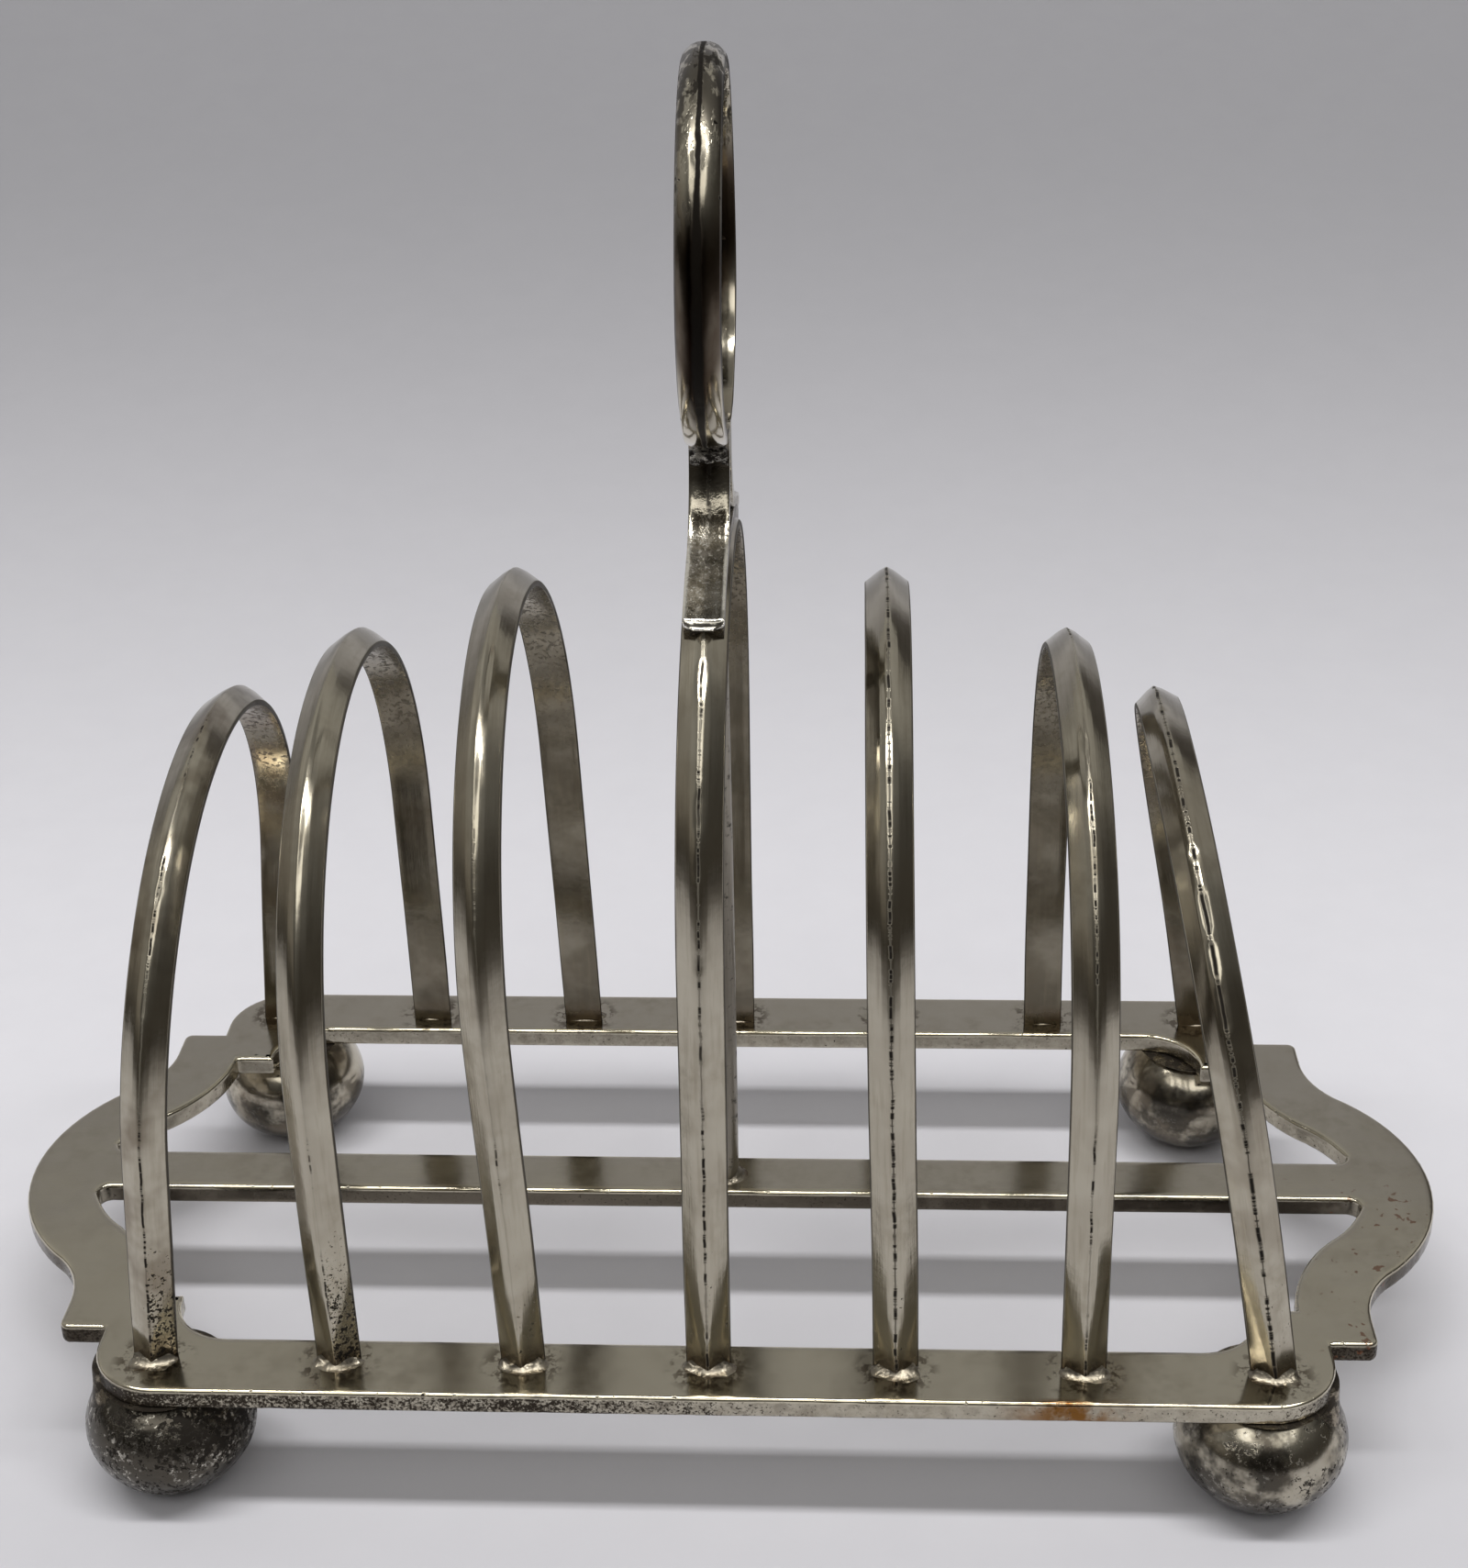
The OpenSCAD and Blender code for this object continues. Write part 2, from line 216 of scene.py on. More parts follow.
def ridged_rows(w, depth, edge, crest, filed, keep):
    """Section points (u, d) row by row. crest is the half width of the flatter band along the ridge,
    filed is where the filed flank starts and keep the share of the edge thickness left by the file."""
    n = len(crest)
    zero = np.zeros(n)
    half = w / 2
    crest_slope = 0.52
    tip = 0.16
    knots = [zero, zero + tip / 2, np.maximum(crest * 0.5, tip), np.maximum(crest - 0.05, tip),
             crest + 0.07, (crest + filed) / 2, filed - 0.05, filed + 0.06, zero + half - 0.13]
    knots = np.maximum.accumulate(np.stack(knots, 1), axis=1)
    inner = np.minimum(knots, crest[:, None])
    outer_slope = (depth - crest_slope * crest - edge) / (half - crest)
    d = depth - crest_slope * inner - outer_slope[:, None] * (knots - inner)
    drop = np.clip((knots - filed[:, None]) / np.maximum(half - filed, 0.2)[:, None], 0, 1)
    d = d - drop * (edge * (1 - keep))[:, None] * 0.9
    d[:, 0] -= 0.05
    d = np.maximum(d, 0.2)
    lip = np.maximum(edge * keep, 0.2)
    side = half - np.tile([0.03, 0, 0, 0.05, 0.18], (n, 1))
    side_d = np.stack([lip * 0.95, lip * 0.75, zero + 0.14, zero + 0.03, zero], 1)
    flat = np.array([half * 0.55, half * 0.2])
    right = np.concatenate([knots, side, np.tile(flat, (n, 1))], 1)
    right_d = np.concatenate([d, side_d, np.zeros((n, 2))], 1)
    left, left_d = -right[:, :0:-1], right_d[:, :0:-1]
    return np.concatenate([right, left], 1), np.concatenate([right_d, left_d], 1)


def sweep_ridged(name, node, path, out, place, section, ridge_drop, material, foot, seed):
    """Sweeps the section rows (u, d) along a path in a bar's plane. place turns plane points into space."""
    u, d = section
    rows, cols = u.shape
    y = path[:, :1] + out[:, :1] * d
    z = path[:, 1:] + out[:, 1:] * d
    verts = place(u.ravel(), y.ravel(), z.ravel())
    out_y, out_z = np.repeat(out[:, 0], cols), np.repeat(out[:, 1], cols)
    wave = 0.035 * noise3(verts, 7.0, seed) + 0.014 * noise3(verts, 2.3, seed + 1)
    outer = (d > 0.1).ravel()
    near = np.exp(-(u.ravel() / 0.22) ** 2) * outer
    shift = np.where(outer, wave, 0.3 * wave) - near * np.repeat(ridge_drop, cols)
    base = place(u.ravel(), y.ravel() + out_y * shift, z.ravel() + out_z * shift)
    attrs = {"u": u, "s": np.repeat(arc_length(path), cols), "foot": np.repeat(foot, cols),
             "outer": outer.astype(float), "gash": np.clip(np.repeat(ridge_drop, cols) / GASH_DEPTH, 0, 1),
             "high": out_z}
    add_piece(name, base, tube_faces(rows, cols), material, attrs, node)


# -------- shader building

class Value:
    """A node's output, which can be added, subtracted and multiplied like a number."""

    def __init__(self, nodes, socket):
        self.nodes = nodes
        self.socket = socket

    def __add__(self, other):
        return self.nodes.math("ADD", self, other)

    def __mul__(self, other):
        return self.nodes.math("MULTIPLY", self, other)

    def __sub__(self, other):
        return self.nodes.math("SUBTRACT", self, other)

    def __rsub__(self, other):
        return self.nodes.math("SUBTRACT", other, self)

    def __abs__(self):
        return self.nodes.math("ABSOLUTE", self)

    __radd__, __rmul__ = __add__, __mul__


class Nodes:
    """A node tree built up by small calls. Numbers and values can be mixed freely."""

    def __init__(self, owner, coordinates):
        owner.use_nodes = True
        self.tree = owner.node_tree
        self.tree.nodes.clear()
        self.coord = self.made("TexCoord", {}, coordinates)

    def made(self, kind, inputs, output=0, **settings):
        """Makes a shader node, sets and links its inputs and gives one of its outputs."""
        node = self.tree.nodes.new("ShaderNode" + kind)
        for key, value in settings.items():
            setattr(node, key, value)
        for key, value in inputs.items():
            socket = node.inputs[key]
            if isinstance(value, Value):
                self.tree.links.new(value.socket, socket)
            elif len(np.shape(value)) == 1 and socket.type == "RGBA":
                socket.default_value = (*value, 1)
            else:
                socket.default_value = value
        return Value(self, node.outputs[output]) if node.outputs else node

    def attr(self, name):
        return self.made("Attribute", {}, "Fac", attribute_name=name)

    def math(self, op, a, b=0.0):
        return self.made("Math", {0: a, 1: b}, operation=op)

    def most(self, first, *others):
        for other in others:
            first = self.math("MAXIMUM", first, other)
        return first

    def step(self, x, low, high, out_low=0.0, out_high=1.0):
        """Soft step from out_low at low to out_high at high."""
        inputs = {0: x, 1: low, 2: high, 3: out_low, 4: out_high}
        return self.made("MapRange", inputs, interpolation_type="SMOOTHSTEP")

    def fall(self, x, low, high, top=1.0):
        """Soft step down to 0."""
        return self.step(x, low, high, top, 0.0)

    def mix(self, fac, a, b):
        return self.made("Mix", {0: fac, 6: a, 7: b}, 2, data_type="RGBA")

    def stretch(self, scale):
        return self.made("Mapping", {"Vector": self.coord, "Scale": scale})

    def noise(self, size_mm, detail, rough, seed, vector=None):
        inputs = {"Vector": vector or self.coord, "W": seed, "Scale": 1.0 / (size_mm * MM),
                  "Detail": detail, "Roughness": rough}
        return self.made("TexNoise", inputs, noise_dimensions="4D")

    def patches(self, size_mm, detail, rough, seed, *limits):
        """Noise cut to soft patches by the limits of a step."""
        return self.step(self.noise(size_mm, detail, rough, seed), *limits)

    def beads(self, s, row, size_mm, detail, rough, seed):
        """Noise along a bar's own length s, which is in mm. Each row gives another pattern."""
        return self.noise(size_mm / MM, detail, rough, seed, self.xyz(s, row))

    def xyz(self, x, y, z=0.0):
        return self.made("CombineXYZ", {0: x, 1: y, 2: z})

    def split(self):
        return [self.made("SeparateXYZ", {0: self.coord}, axis) for axis in range(3)]

    def bump(self, height, strength, distance_mm, before=None):
        inputs = {"Height": height, "Strength": strength, "Distance": distance_mm * MM}
        if before:
            inputs["Normal"] = before
        return self.made("Bump", inputs)


class Shader(Nodes):
    """A material. Its colour is built up by calls to stain."""

    def __init__(self, name):
        self.mat = bpy.data.materials.new(name)
        super().__init__(self.mat, "Object")
        self.color = SILVER

    def stain(self, color, *masks):
        """Covers the colour so far with another one, where all the masks are high."""
        self.color = self.mix(math.prod(masks[1:], start=masks[0]), self.color, color)

    def finish(self, metallic, roughness, normal):
        inputs = {"Base Color": self.color, "Metallic": metallic, "Roughness": roughness,
                  "Specular IOR Level": SPECULAR, "Normal": normal}
        self.made("OutputMaterial", {0: self.made("BsdfPrincipled", inputs)})
        return self.mat


SILVER = (0.475, 0.435, 0.345)
PALE = (0.55, 0.515, 0.425)
OLIVE = (0.30, 0.262, 0.19)
BROWN = (0.15, 0.11, 0.07)
SOOT = (0.018, 0.015, 0.012)
SPECULAR = 0.12       # low, so that black grime doesn't gleam


def silver_base(sh, seed, dark):
    """Lays a cloudy worn plate as the first colour. The roughness that goes with it is returned."""
    cloud = sh.patches(13, 3, 0.55, seed, 0.38, 0.68)
    mottle = sh.patches(2.6, 4, 0.6, seed + 3, 0.40, 0.72)
    sh.color = sh.mix(sh.noise(6, 2, 0.5, seed + 5), SILVER, PALE)
    sh.stain(OLIVE, cloud, mottle, dark)
    return 0.075 + cloud * 0.05 + mottle * 0.04


def bar_material(name, seed, pits, brown, ridge):
    sh = Shader(name)
    u, s, foot, outer = sh.attr("u"), sh.attr("s"), sh.attr("foot"), sh.attr("outer")
    rough = silver_base(sh, seed, 0.5)
    streak = sh.noise(0.5 / MM, 3, 0.6, seed, sh.xyz(u, s * 0.06, seed))
    inner = 1.0 - outer
    dull = inner * sh.patches(9, 4, 0.6, seed + 9, 0.35, 0.6, 0.55, 0.9)
    sh.stain((0.17, 0.148, 0.108), dull)
    sh.stain(OLIVE, sh.step(streak, 0.46, 0.70, 0.0, 0.35))
    sh.stain(BROWN, brown, sh.patches(8, 3, 0.6, seed + 21, 0.42, 0.62))
    # broken black line on the ridge
    wander = (sh.beads(s, seed, 3, 2, 0.6, seed) - 0.5) * 0.5
    line = sh.fall(abs(u + wander), 0.05 + 0.03 * ridge, 0.15 + 0.1 * ridge)
    dash = sh.step(sh.beads(s, seed + 3, 1.5, 4, 0.8, seed + 1), 0.46, 0.53)
    gaps = 0.56 - 0.26 * ridge
    spell = sh.step(sh.beads(s, seed + 5, 24, 2, 0.5, seed + 2), gaps, gaps + 0.10)
    hair = sh.fall(abs(u + wander * 0.6), 0.03, 0.13, min(0.75, 0.5 * ridge))
    crest = sh.most(line * sh.most(dash * spell, sh.attr("gash")), hair) * outer
    # dark skin along the two thin edges
    edge = sh.step(abs(u) + streak * 0.12, 2.52, 2.64)
    # black specks, denser towards the foot
    side = sh.step(u, -0.1, 0.1, pits[0], pits[1])
    near = sh.fall(foot, 6.0, 27.0) * side * (0.25 + outer * 0.75)
    limit = 0.83 - near * 0.25 - sh.noise(3.5, 2, 0.6, seed + 11) * 0.12
    pit = sh.step(sh.noise(0.42, 3, 0.7, seed + 7) - limit, -0.01, 0.025)
    # painted shade: dark speckle that thickens on the crown's underside, where the inner face turns
    # downward
    under = inner * sh.attr("high") * sh.patches(0.7, 3, 0.7, seed + 15, 0.5, 0.6) * 0.8
    # smoky heat stain right at the solder
    smoke = sh.fall(foot, 0.2, 4.5, 0.8) * sh.patches(2.5, 3, 0.5, seed + 13, 0.3, 0.6, 0.5, 1.0)
    sh.stain(BROWN, smoke)
    black = sh.most(crest, pit, under, edge * 0.85)
    sh.stain(SOOT, black)
    rough = rough + 0.02 + dull * 0.04 + streak * 0.07 + black * 0.45 + smoke * 0.15
    scratch = sh.noise(0.16 / MM, 2, 0.5, seed + 2, sh.xyz(u, s * 0.03, seed))
    normal = sh.bump(scratch * 0.35 - black * 1.4, 0.35, 0.05)
    normal = sh.bump(sh.noise(1.6, 2, 0.5, seed + 17), 0.16, 0.10, normal)
    return sh.finish(1.0 - black * 0.75, rough, normal)


def plate_material():
    sh = Shader("worn_plate")
    x, y, _ = sh.split()
    wall, bevel, grime, sawn = sh.attr("wall"), sh.attr("bevel"), sh.attr("grime"), sh.attr("sawn")
    rough = silver_base(sh, 40.0, 0.45)
    brushed = sh.noise(0.5, 3, 0.6, 42.0, sh.stretch((0.05, 1.0, 1.0)))
    # walls: pitted, black and brown over pale metal
    fine = sh.noise(0.36, 4, 0.75, 44.0)
    broad = sh.noise(5.0, 3, 0.6, 45.0, sh.stretch((0.35, 1, 1)))
    level = 0.78 - grime * 0.3 - broad * 0.14
    pit = sh.step(fine - level, -0.02, 0.05) * wall
    skin = wall * sh.patches(1.4, 4, 0.7, 47.0, 0.38, 0.66) * (0.25 + grime * 0.65)
    sh.stain((0.15, 0.125, 0.095), sh.most(skin * 0.85, sawn * 0.8))
    # sawn walls of the slots and the ears, dirtier on the right
    soiled = sh.most(sh.step(x, -0.03, 0.05, 0.25, 1.0), sh.step(abs(x), 0.066, 0.072))
    soiled = soiled * sawn * sh.patches(3.0, 3, 0.6, 46.0, 0.3, 0.55, 0.6, 1.0)
    sh.stain((0.050, 0.041, 0.031), soiled, 0.92)
    # rust freckles on the right end
    at_end = sh.step(x, 0.07, 0.076) * sh.step(y, 0.004, -0.004)
    sh.stain((0.20, 0.07, 0.03), sh.patches(1.5, 2, 0.7, 49.0, 0.64, 0.67), at_end, 0.7)
    # painted highlight: a pale yellow line along the bevel, weaker on the ears
    calm = sh.step(abs(x), 0.064, 0.072, 1.0, 0.3)
    painted_bevel_highlight = bevel * calm * sh.patches(3.5, 3, 0.6, 51.0, 0.3, 0.5)
    sh.stain((0.93, 0.86, 0.66), painted_bevel_highlight)
    sh.stain((0.050, 0.036, 0.024), pit, 0.95)
    # a spreading tea-brown stain on the front edge
    blot = sh.fall(abs(x - TEA_STAIN_X * MM), 0.001, 0.010) * sh.fall(y, -0.0435, -0.0425)
    sh.stain((0.22, 0.10, 0.025), blot, sh.patches(2.4, 3, 0.6, 53.0, 0.3, 0.6))
    # brown heat stains round the bars' feet, which stand at even steps
    first, second = read_bar("bar_1")[0], read_bar("bar_2")[0]
    along = sh.math("PINGPONG", x - first * MM, (second - first) * MM / 2)
    across = abs(y) - HEAT_STAIN_Y * MM
    reach = sh.math("SQRT", along * along + across * across)
    heat = sh.fall(reach, 0.0034, 0.0056) * (1.0 - wall)
    sh.stain((0.085, 0.060, 0.036), heat, sh.patches(1.6, 3, 0.7, 54.0, 0.48, 0.58), 0.75)
    # pits in the walls, rare specks on the flat top and nicks in the bevel
    dust = sh.patches(0.8, 3, 0.7, 48.0, 0.735, 0.765)
    nick = bevel * sh.patches(0.9, 3, 0.7, 52.0, 0.62, 0.68)
    black = sh.most(pit * 0.55, dust * 0.8, nick)
    sh.stain(SOOT, black)
    rough = rough + 0.02 + brushed * 0.06 - painted_bevel_highlight * 0.05 + black * 0.4 + skin * 0.25
    height = brushed * 0.03 - black * 0.9 - skin * fine * 0.8
    normal = sh.bump(height, 0.5, 0.09)
    normal = sh.bump(sh.noise(26, 2, 0.5, 56.0), 0.35, 0.9, normal)
    normal = sh.bump(sh.noise(9, 2, 0.5, 57.0), 0.25, 0.25, normal)
    return sh.finish(1.0 - black * 0.7, rough, normal)


def foot_material(name, seed, pits, gloom, tan, fleck):
    sh = Shader(name)
    rough = silver_base(sh, seed, 0.7)
    # darker towards the bottom of the ball: the veil is pushed up there
    low = sh.step(sh.split()[2], 0.012, 0.004)
    veil = sh.noise(7, 4, 0.65, seed + 1) + low * 0.12
    veil = sh.step(veil, 0.58 - gloom, 0.74 - gloom)
    sh.stain((0.045, 0.040, 0.034), veil, 0.92)
    sh.stain((0.27, 0.225, 0.165), tan, sh.patches(5, 3, 0.6, seed + 2, 0.4, 0.62))
    spark = sh.patches(0.8, 4, 0.75, seed + 3, 0.54, 0.60)
    sh.stain((0.62, 0.59, 0.52), fleck, spark, sh.patches(4.0, 3, 0.6, seed + 5, 0.42, 0.55))
    seam = sh.attr("seam")
    smoke = seam * sh.patches(3, 3, 0.5, seed + 8, 0.2, 0.5)
    sh.stain(BROWN, smoke, 0.8)
    limit = 0.9 - sh.noise(6.5, 3, 0.6, seed + 4) * pits - seam * 0.3
    pit = sh.step(sh.noise(0.75, 4, 0.75, seed + 6) - limit, -0.012, 0.03)
    sh.stain(SOOT, pit, 0.95)
    rough = rough + 0.04 + pit * 0.4 + smoke * 0.2 + veil * 0.07
    height = sh.noise(1.0, 3, 0.6, seed + 9) * 0.3 - pit
    return sh.finish(1.0 - pit * 0.7, rough, sh.bump(height, 0.4, 0.12))


def solder_material():
    sh = Shader("run_solder")
    rim = sh.attr("rim")
    sh.color = sh.mix(sh.noise(2.0, 3, 0.6, 61.0), (0.22, 0.195, 0.15), (0.46, 0.42, 0.34))
    sh.stain((0.085, 0.058, 0.034), sh.step(rim, 0.2, 0.8), sh.patches(2.6, 4, 0.65, 62.0, 0.44, 0.56), 0.9)
    burnt = sh.fall(rim, 0.0, 0.35) * sh.patches(1.5, 3, 0.6, 63.0, 0.35, 0.6)
    sh.stain(SOOT, burnt, 0.85)
    rough = 0.16 + sh.noise(1.2, 2, 0.6, 64.0) * 0.3 + burnt * 0.3
    normal = sh.bump(sh.noise(1.3, 3, 0.6, 65.0), 0.8, 0.35)
    return sh.finish(1.0 - burnt * 0.6, rough, normal)


def post_material():
    sh = Shader("dark_rod")
    pull = sh.noise(0.35, 3, 0.6, 71.0, sh.stretch((1.0, 1.0, 0.08)))
    spot = sh.patches(1.2, 4, 0.7, 72.0, 0.55, 0.68)
    sh.color = sh.mix(pull, (0.20, 0.18, 0.15), (0.42, 0.39, 0.33))
    sh.stain(SOOT, spot, 0.8)
    rough = 0.26 + pull * 0.18 + spot * 0.25
    normal = sh.bump(pull * 0.5 - spot, 0.35, 0.07)
    return sh.finish(1.0 - spot * 0.5, rough, normal)


def stud_material():
    sh = Shader("turned_peg")
    ring = sh.noise(0.3, 2, 0.5, 81.0, sh.stretch((0.2, 0.2, 1.5)))
    sh.color = sh.mix(ring, (0.52, 0.40, 0.20), (0.72, 0.58, 0.32))
    return sh.finish(1.0, 0.25 + ring * 0.15, sh.bump(ring, 0.3, 0.05))


# -------- the bars

def gashes(s, seed, amount):
    """Depth in mm of the broken groove worn along a ridge."""
    n = 0.65 * noise1(s, 3.0, seed) + 0.5 * noise1(s, 0.9, seed + 1) + 0.35 * noise1(s, 22.0, seed + 2)
    return GASH_DEPTH * smooth(n, 0.30, 0.50) * amount


def read_bar(node):
    """Foot position, lean, outer radius and leg length of a bar, read from its CAD mesh."""
    co = points_mm(node)
    apex = co[co[:, 2].argmax()]
    x0 = co[co[:, 2] < DECK - 0.1][:, 0].mean()
    lean = math.atan2(apex[0] - x0, apex[2] - DECK)
    radius = co[:, 1].max()
    leg = (apex[2] - DECK) / math.cos(lean) - radius
    return x0, lean, radius, leg


def plane_place(x0, lean, bend):
    """Turns (across, y, height along the bar) into space for a bar that leans about its feet."""
    def place(u, y, z):
        across = u + bend(z, y)
        return np.stack([x0 + across * math.cos(lean) + z * math.sin(lean), y,
                         DECK + z * math.cos(lean) - across * math.sin(lean)], 1)
    return place


def bar_piece(node, index):
    x0, lean, radius, leg = read_bar(node)
    wear = BARS[node]
    path, out = arch_path(radius - BAR_DEPTH, leg, -BAR_SINK)
    s = arc_length(path)
    is_front = s < s[-1] / 2
    foot = np.clip(np.where(is_front, s, s[-1] - s) - BAR_SINK, 0, None)
    spear = np.where(is_front, *wear["spear"])
    crest = 0.95 * np.clip(foot / (spear * 0.9), 0.10, 1) ** 0.8 * (1 + 0.12 * noise1(s, 18, index))
    filed = np.clip(0.35 + 2.0 * foot / spear + 0.06 * noise1(s, 4, index + 9), crest + 0.1, 2.4)
    u, d = ridged_rows(BAR_W, BAR_DEPTH, BAR_EDGE, crest, filed, smooth(foot, -2, spear))
    u = u * (1 + 0.012 * noise1(s, 14, index + 20))[:, None]
    bow = 0.5 if node == "bar_7" else 0.0

    def bend(z, y):
        rise = np.clip(z / (leg + radius), 0, 1)
        wobble = 0.22 * noise3(np.stack([y, z, 0 * z], 1), 45, index + 30)
        return wobble * smooth(z, 0, 25) + bow * np.sin(rise * math.pi)

    material = bar_material(f"bar_plate_{index}", 3.1 * index, wear["pits"], wear["brown"], wear["ridge"])
    sweep_ridged(f"{node}_looks", node, path, out, plane_place(x0, lean, bend), (u, d),
                 gashes(s, 50 + index, wear["ridge"]), material, foot, 70 + index)


# -------- the plate

def top_loops():
    """The three longest outlines of the CAD plate's top face, as closed rings of points."""
    co = points_mm("base_plate")
    numbers = {}
    names = [numbers.setdefault(tuple(point), len(numbers)) for point in np.round(co, 3)]
    spot = np.zeros((len(numbers), 3))
    spot[names] = co
    count = {}
    for poly in frame["nodes"]["base_plate"].data.polygons:
        ids = [names[v] for v in poly.vertices]
        if all(abs(spot[i][2] - DECK) < 0.01 for i in ids):
            for a, b in zip(ids, ids[1:] + ids[:1]):
                if a != b:
                    edge = (min(a, b), max(a, b))
                    count[edge] = count.get(edge, 0) + 1
    links = {}
    for (a, b), n in count.items():
        if n == 1:
            links.setdefault(a, []).append(b)
            links.setdefault(b, []).append(a)
    loops, seen = [], set()
    for start in links:
        ring, ahead = [], [start]
        while ahead and ahead[0] not in seen:
            here = ahead[0]
            seen.add(here)
            ring.append(here)
            ahead = [n for n in links[here] if n not in seen]
        if len(ring) > 8:
            loops.append(spot[ring][:, :2])
    return sorted(loops, key=lambda r: -np.linalg.norm(r - np.roll(r, 1, 0), axis=1).sum())[:3]


def ring_area(ring):
    """Area inside a ring, positive where it runs anticlockwise."""
    x, y = ring[:, 0], ring[:, 1]
    return 0.5 * np.sum(x * np.roll(y, -1) - np.roll(x, -1) * y)


def resample(ring, step):
    """Points at about this step round a closed outline, keeping every corner of the outline."""
    made = []
    for a, b in zip(ring, np.roll(ring, -1, 0)):
        n = max(1, int(round(np.linalg.norm(b - a) / step)))
        made += [a + (b - a) * k / n for k in range(n)]
    made = np.array(made)
    keep = np.linalg.norm(made - np.roll(made, 1, 0), axis=1) > 0.12
    return made[keep]


def ring_normals(ring):
    """Unit normals that point out of the ring's own area, with the mitre length at corners."""
    before, after = ring - np.roll(ring, 1, 0), np.roll(ring, -1, 0) - ring
    before /= np.linalg.norm(before, axis=1, keepdims=True)
    after /= np.linalg.norm(after, axis=1, keepdims=True)
    n = np.stack([before[:, 1] + after[:, 1], -before[:, 0] - after[:, 0]], 1)
    length = np.linalg.norm(n, axis=1, keepdims=True)
    return n / np.maximum(length, 1e-6) * np.clip(2 / np.maximum(length, 1e-6), 1, 1.5)


CENTRE_EXTRA = 0.45   # the centre rail is this much wider on each side than its solid
# Edge of the plate in section: distance in from the wall, height below the top
RIM = [(1.1, 0), (0.62, 0), (0.42, 0.02), (0.24, 0.08), (0.10, 0.22), (0.03, 0.40), (0, 0.62), (0, 0.85),
       (0, 1.1), (0, 1.35), (0, 1.6), (0, 1.85), (0, 2.1), (0.03, 2.35), (0.12, 2.55), (0.3, 2.66),
       (0.6, 2.7), (1.1, 2.7)]


def plate_rings():
    """Outlines of the plate, anticlockwise, with the centre rail widened."""
    rings = []
    for ring in top_loops():
        ring = resample(ring, STEP)
        grow = (1 - smooth(np.abs(ring[:, 1]), 3.6, 7.5)) * (np.abs(ring[:, 0]) < 84)
        ring[:, 1] += np.sign(ring[:, 1]) * CENTRE_EXTRA * grow
        rings.append(ring if ring_area(ring) > 0 else ring[::-1])
    return rings


def plate_piece():
    verts, faces, wall, bevel, fills = [], [], [], [], ([], [])
    total = 0
    for index, ring in enumerate(plate_rings()):
        n = len(ring)
        normal = ring_normals(ring) * (1 if index == 0 else -1)
        rows = [np.column_stack([ring - normal * inset, np.full(n, DECK - drop)]) for inset, drop in RIM]
        flat = np.concatenate(rows)
        drop = np.repeat([r[1] for r in RIM], n)
        on_wall = smooth(drop, 0.35, 0.6) * (1 - smooth(drop, 2.5, 2.69))
        front = smooth(-flat[:, 1], 36, 43) if index == 0 else 0
        rough = 0.5 * noise3(flat, 0.9, 5) + 0.6 * noise3(flat, 2.4, 6)
        depth = 0.10 * smooth(rough, 0.05, 0.7) * on_wall * (0.5 + 0.5 * front)
        dent = 0.06 * noise3(flat, 9.0, 8) * smooth(drop, 0.0, 0.5)
        flat[:, :2] -= np.tile(normal, (len(RIM), 1)) * (depth + np.abs(dent))[:, None]
        verts.append(flat)
        faces += grid_faces(len(RIM), n, first=total)
        wall.append(on_wall)
        bevel.append(smooth(drop, 0.0, 0.05) * (1 - smooth(drop, 0.25, 0.5)))
        fills[0].append(list(range(total, total + n)))
        fills[1].append(list(range(total + (len(RIM) - 1) * n, total + len(RIM) * n)))
        total += len(flat)
    verts, wall = np.concatenate(verts), np.concatenate(wall)
    for side in fills:
        flat_ids = [i for ring in side for i in ring]
        rings = [[Vector(verts[i]) for i in ring] for ring in side]
        faces += [tuple(flat_ids[k] for k in tri) for tri in tessellate_polygon(rings)]
    x, y = verts[:, 0], verts[:, 1]
    notch = (np.abs(x) > 73.0) * smooth(np.abs(y), 27, 30)
    slots = (1 - smooth(np.abs(y), 4, 8)) * (1 - smooth(np.abs(x), 78, 84))
    ears = 0.9 * smooth(np.abs(x), 68, 74) * smooth(-y, 2, 12)
    sawn = wall * np.maximum(np.maximum(slots, notch), ears)
    grime = (0.30 + 0.50 * smooth(-x, -25, 25) * smooth(-y, 30, 43)
             + 0.35 * smooth(np.abs(x), 62, 74) * smooth(-y, 10, 35))
    attrs = {"wall": wall, "bevel": np.concatenate(bevel), "grime": grime, "sawn": sawn}
    add_piece("base_plate_looks", verts, faces, plate_material(), attrs, "base_plate")


# -------- solder

POOL_SIDES, POOL_RINGS = 48, 12


def pool(center, inner, outer, height, seed):
    """Skirt of solder from a ring of points at a bar's foot out to a wider ring on the plate."""
    verts, rim = [], []
    around = np.abs(np.arange(POOL_SIDES) - POOL_SIDES / 2)
    for t in np.arange(POOL_RINGS) / (POOL_RINGS - 1):
        p = center + inner + (outer - inner) * t
        spot = np.column_stack([p, np.zeros(POOL_SIDES)])
        lumpy = 1 + 0.6 * noise1(around, 4, seed) + 0.4 * noise3(spot, 1.1, seed)
        swell = height * (1 - t) ** 3.4 + 0.03 * math.exp(-((t - 0.72) / 0.16) ** 2)
        verts.append(np.column_stack([p, DECK + swell * np.clip(lumpy, 0.25, 1.8) - 0.06 * t]))
        rim += [t] * POOL_SIDES
    return np.concatenate(verts), rim


def pool_faces(first=0):
    """Faces of one pool, with its narrow end closed."""
    return grid_faces(POOL_RINGS, POOL_SIDES, first=first) + [tuple(range(first, first + POOL_SIDES))]


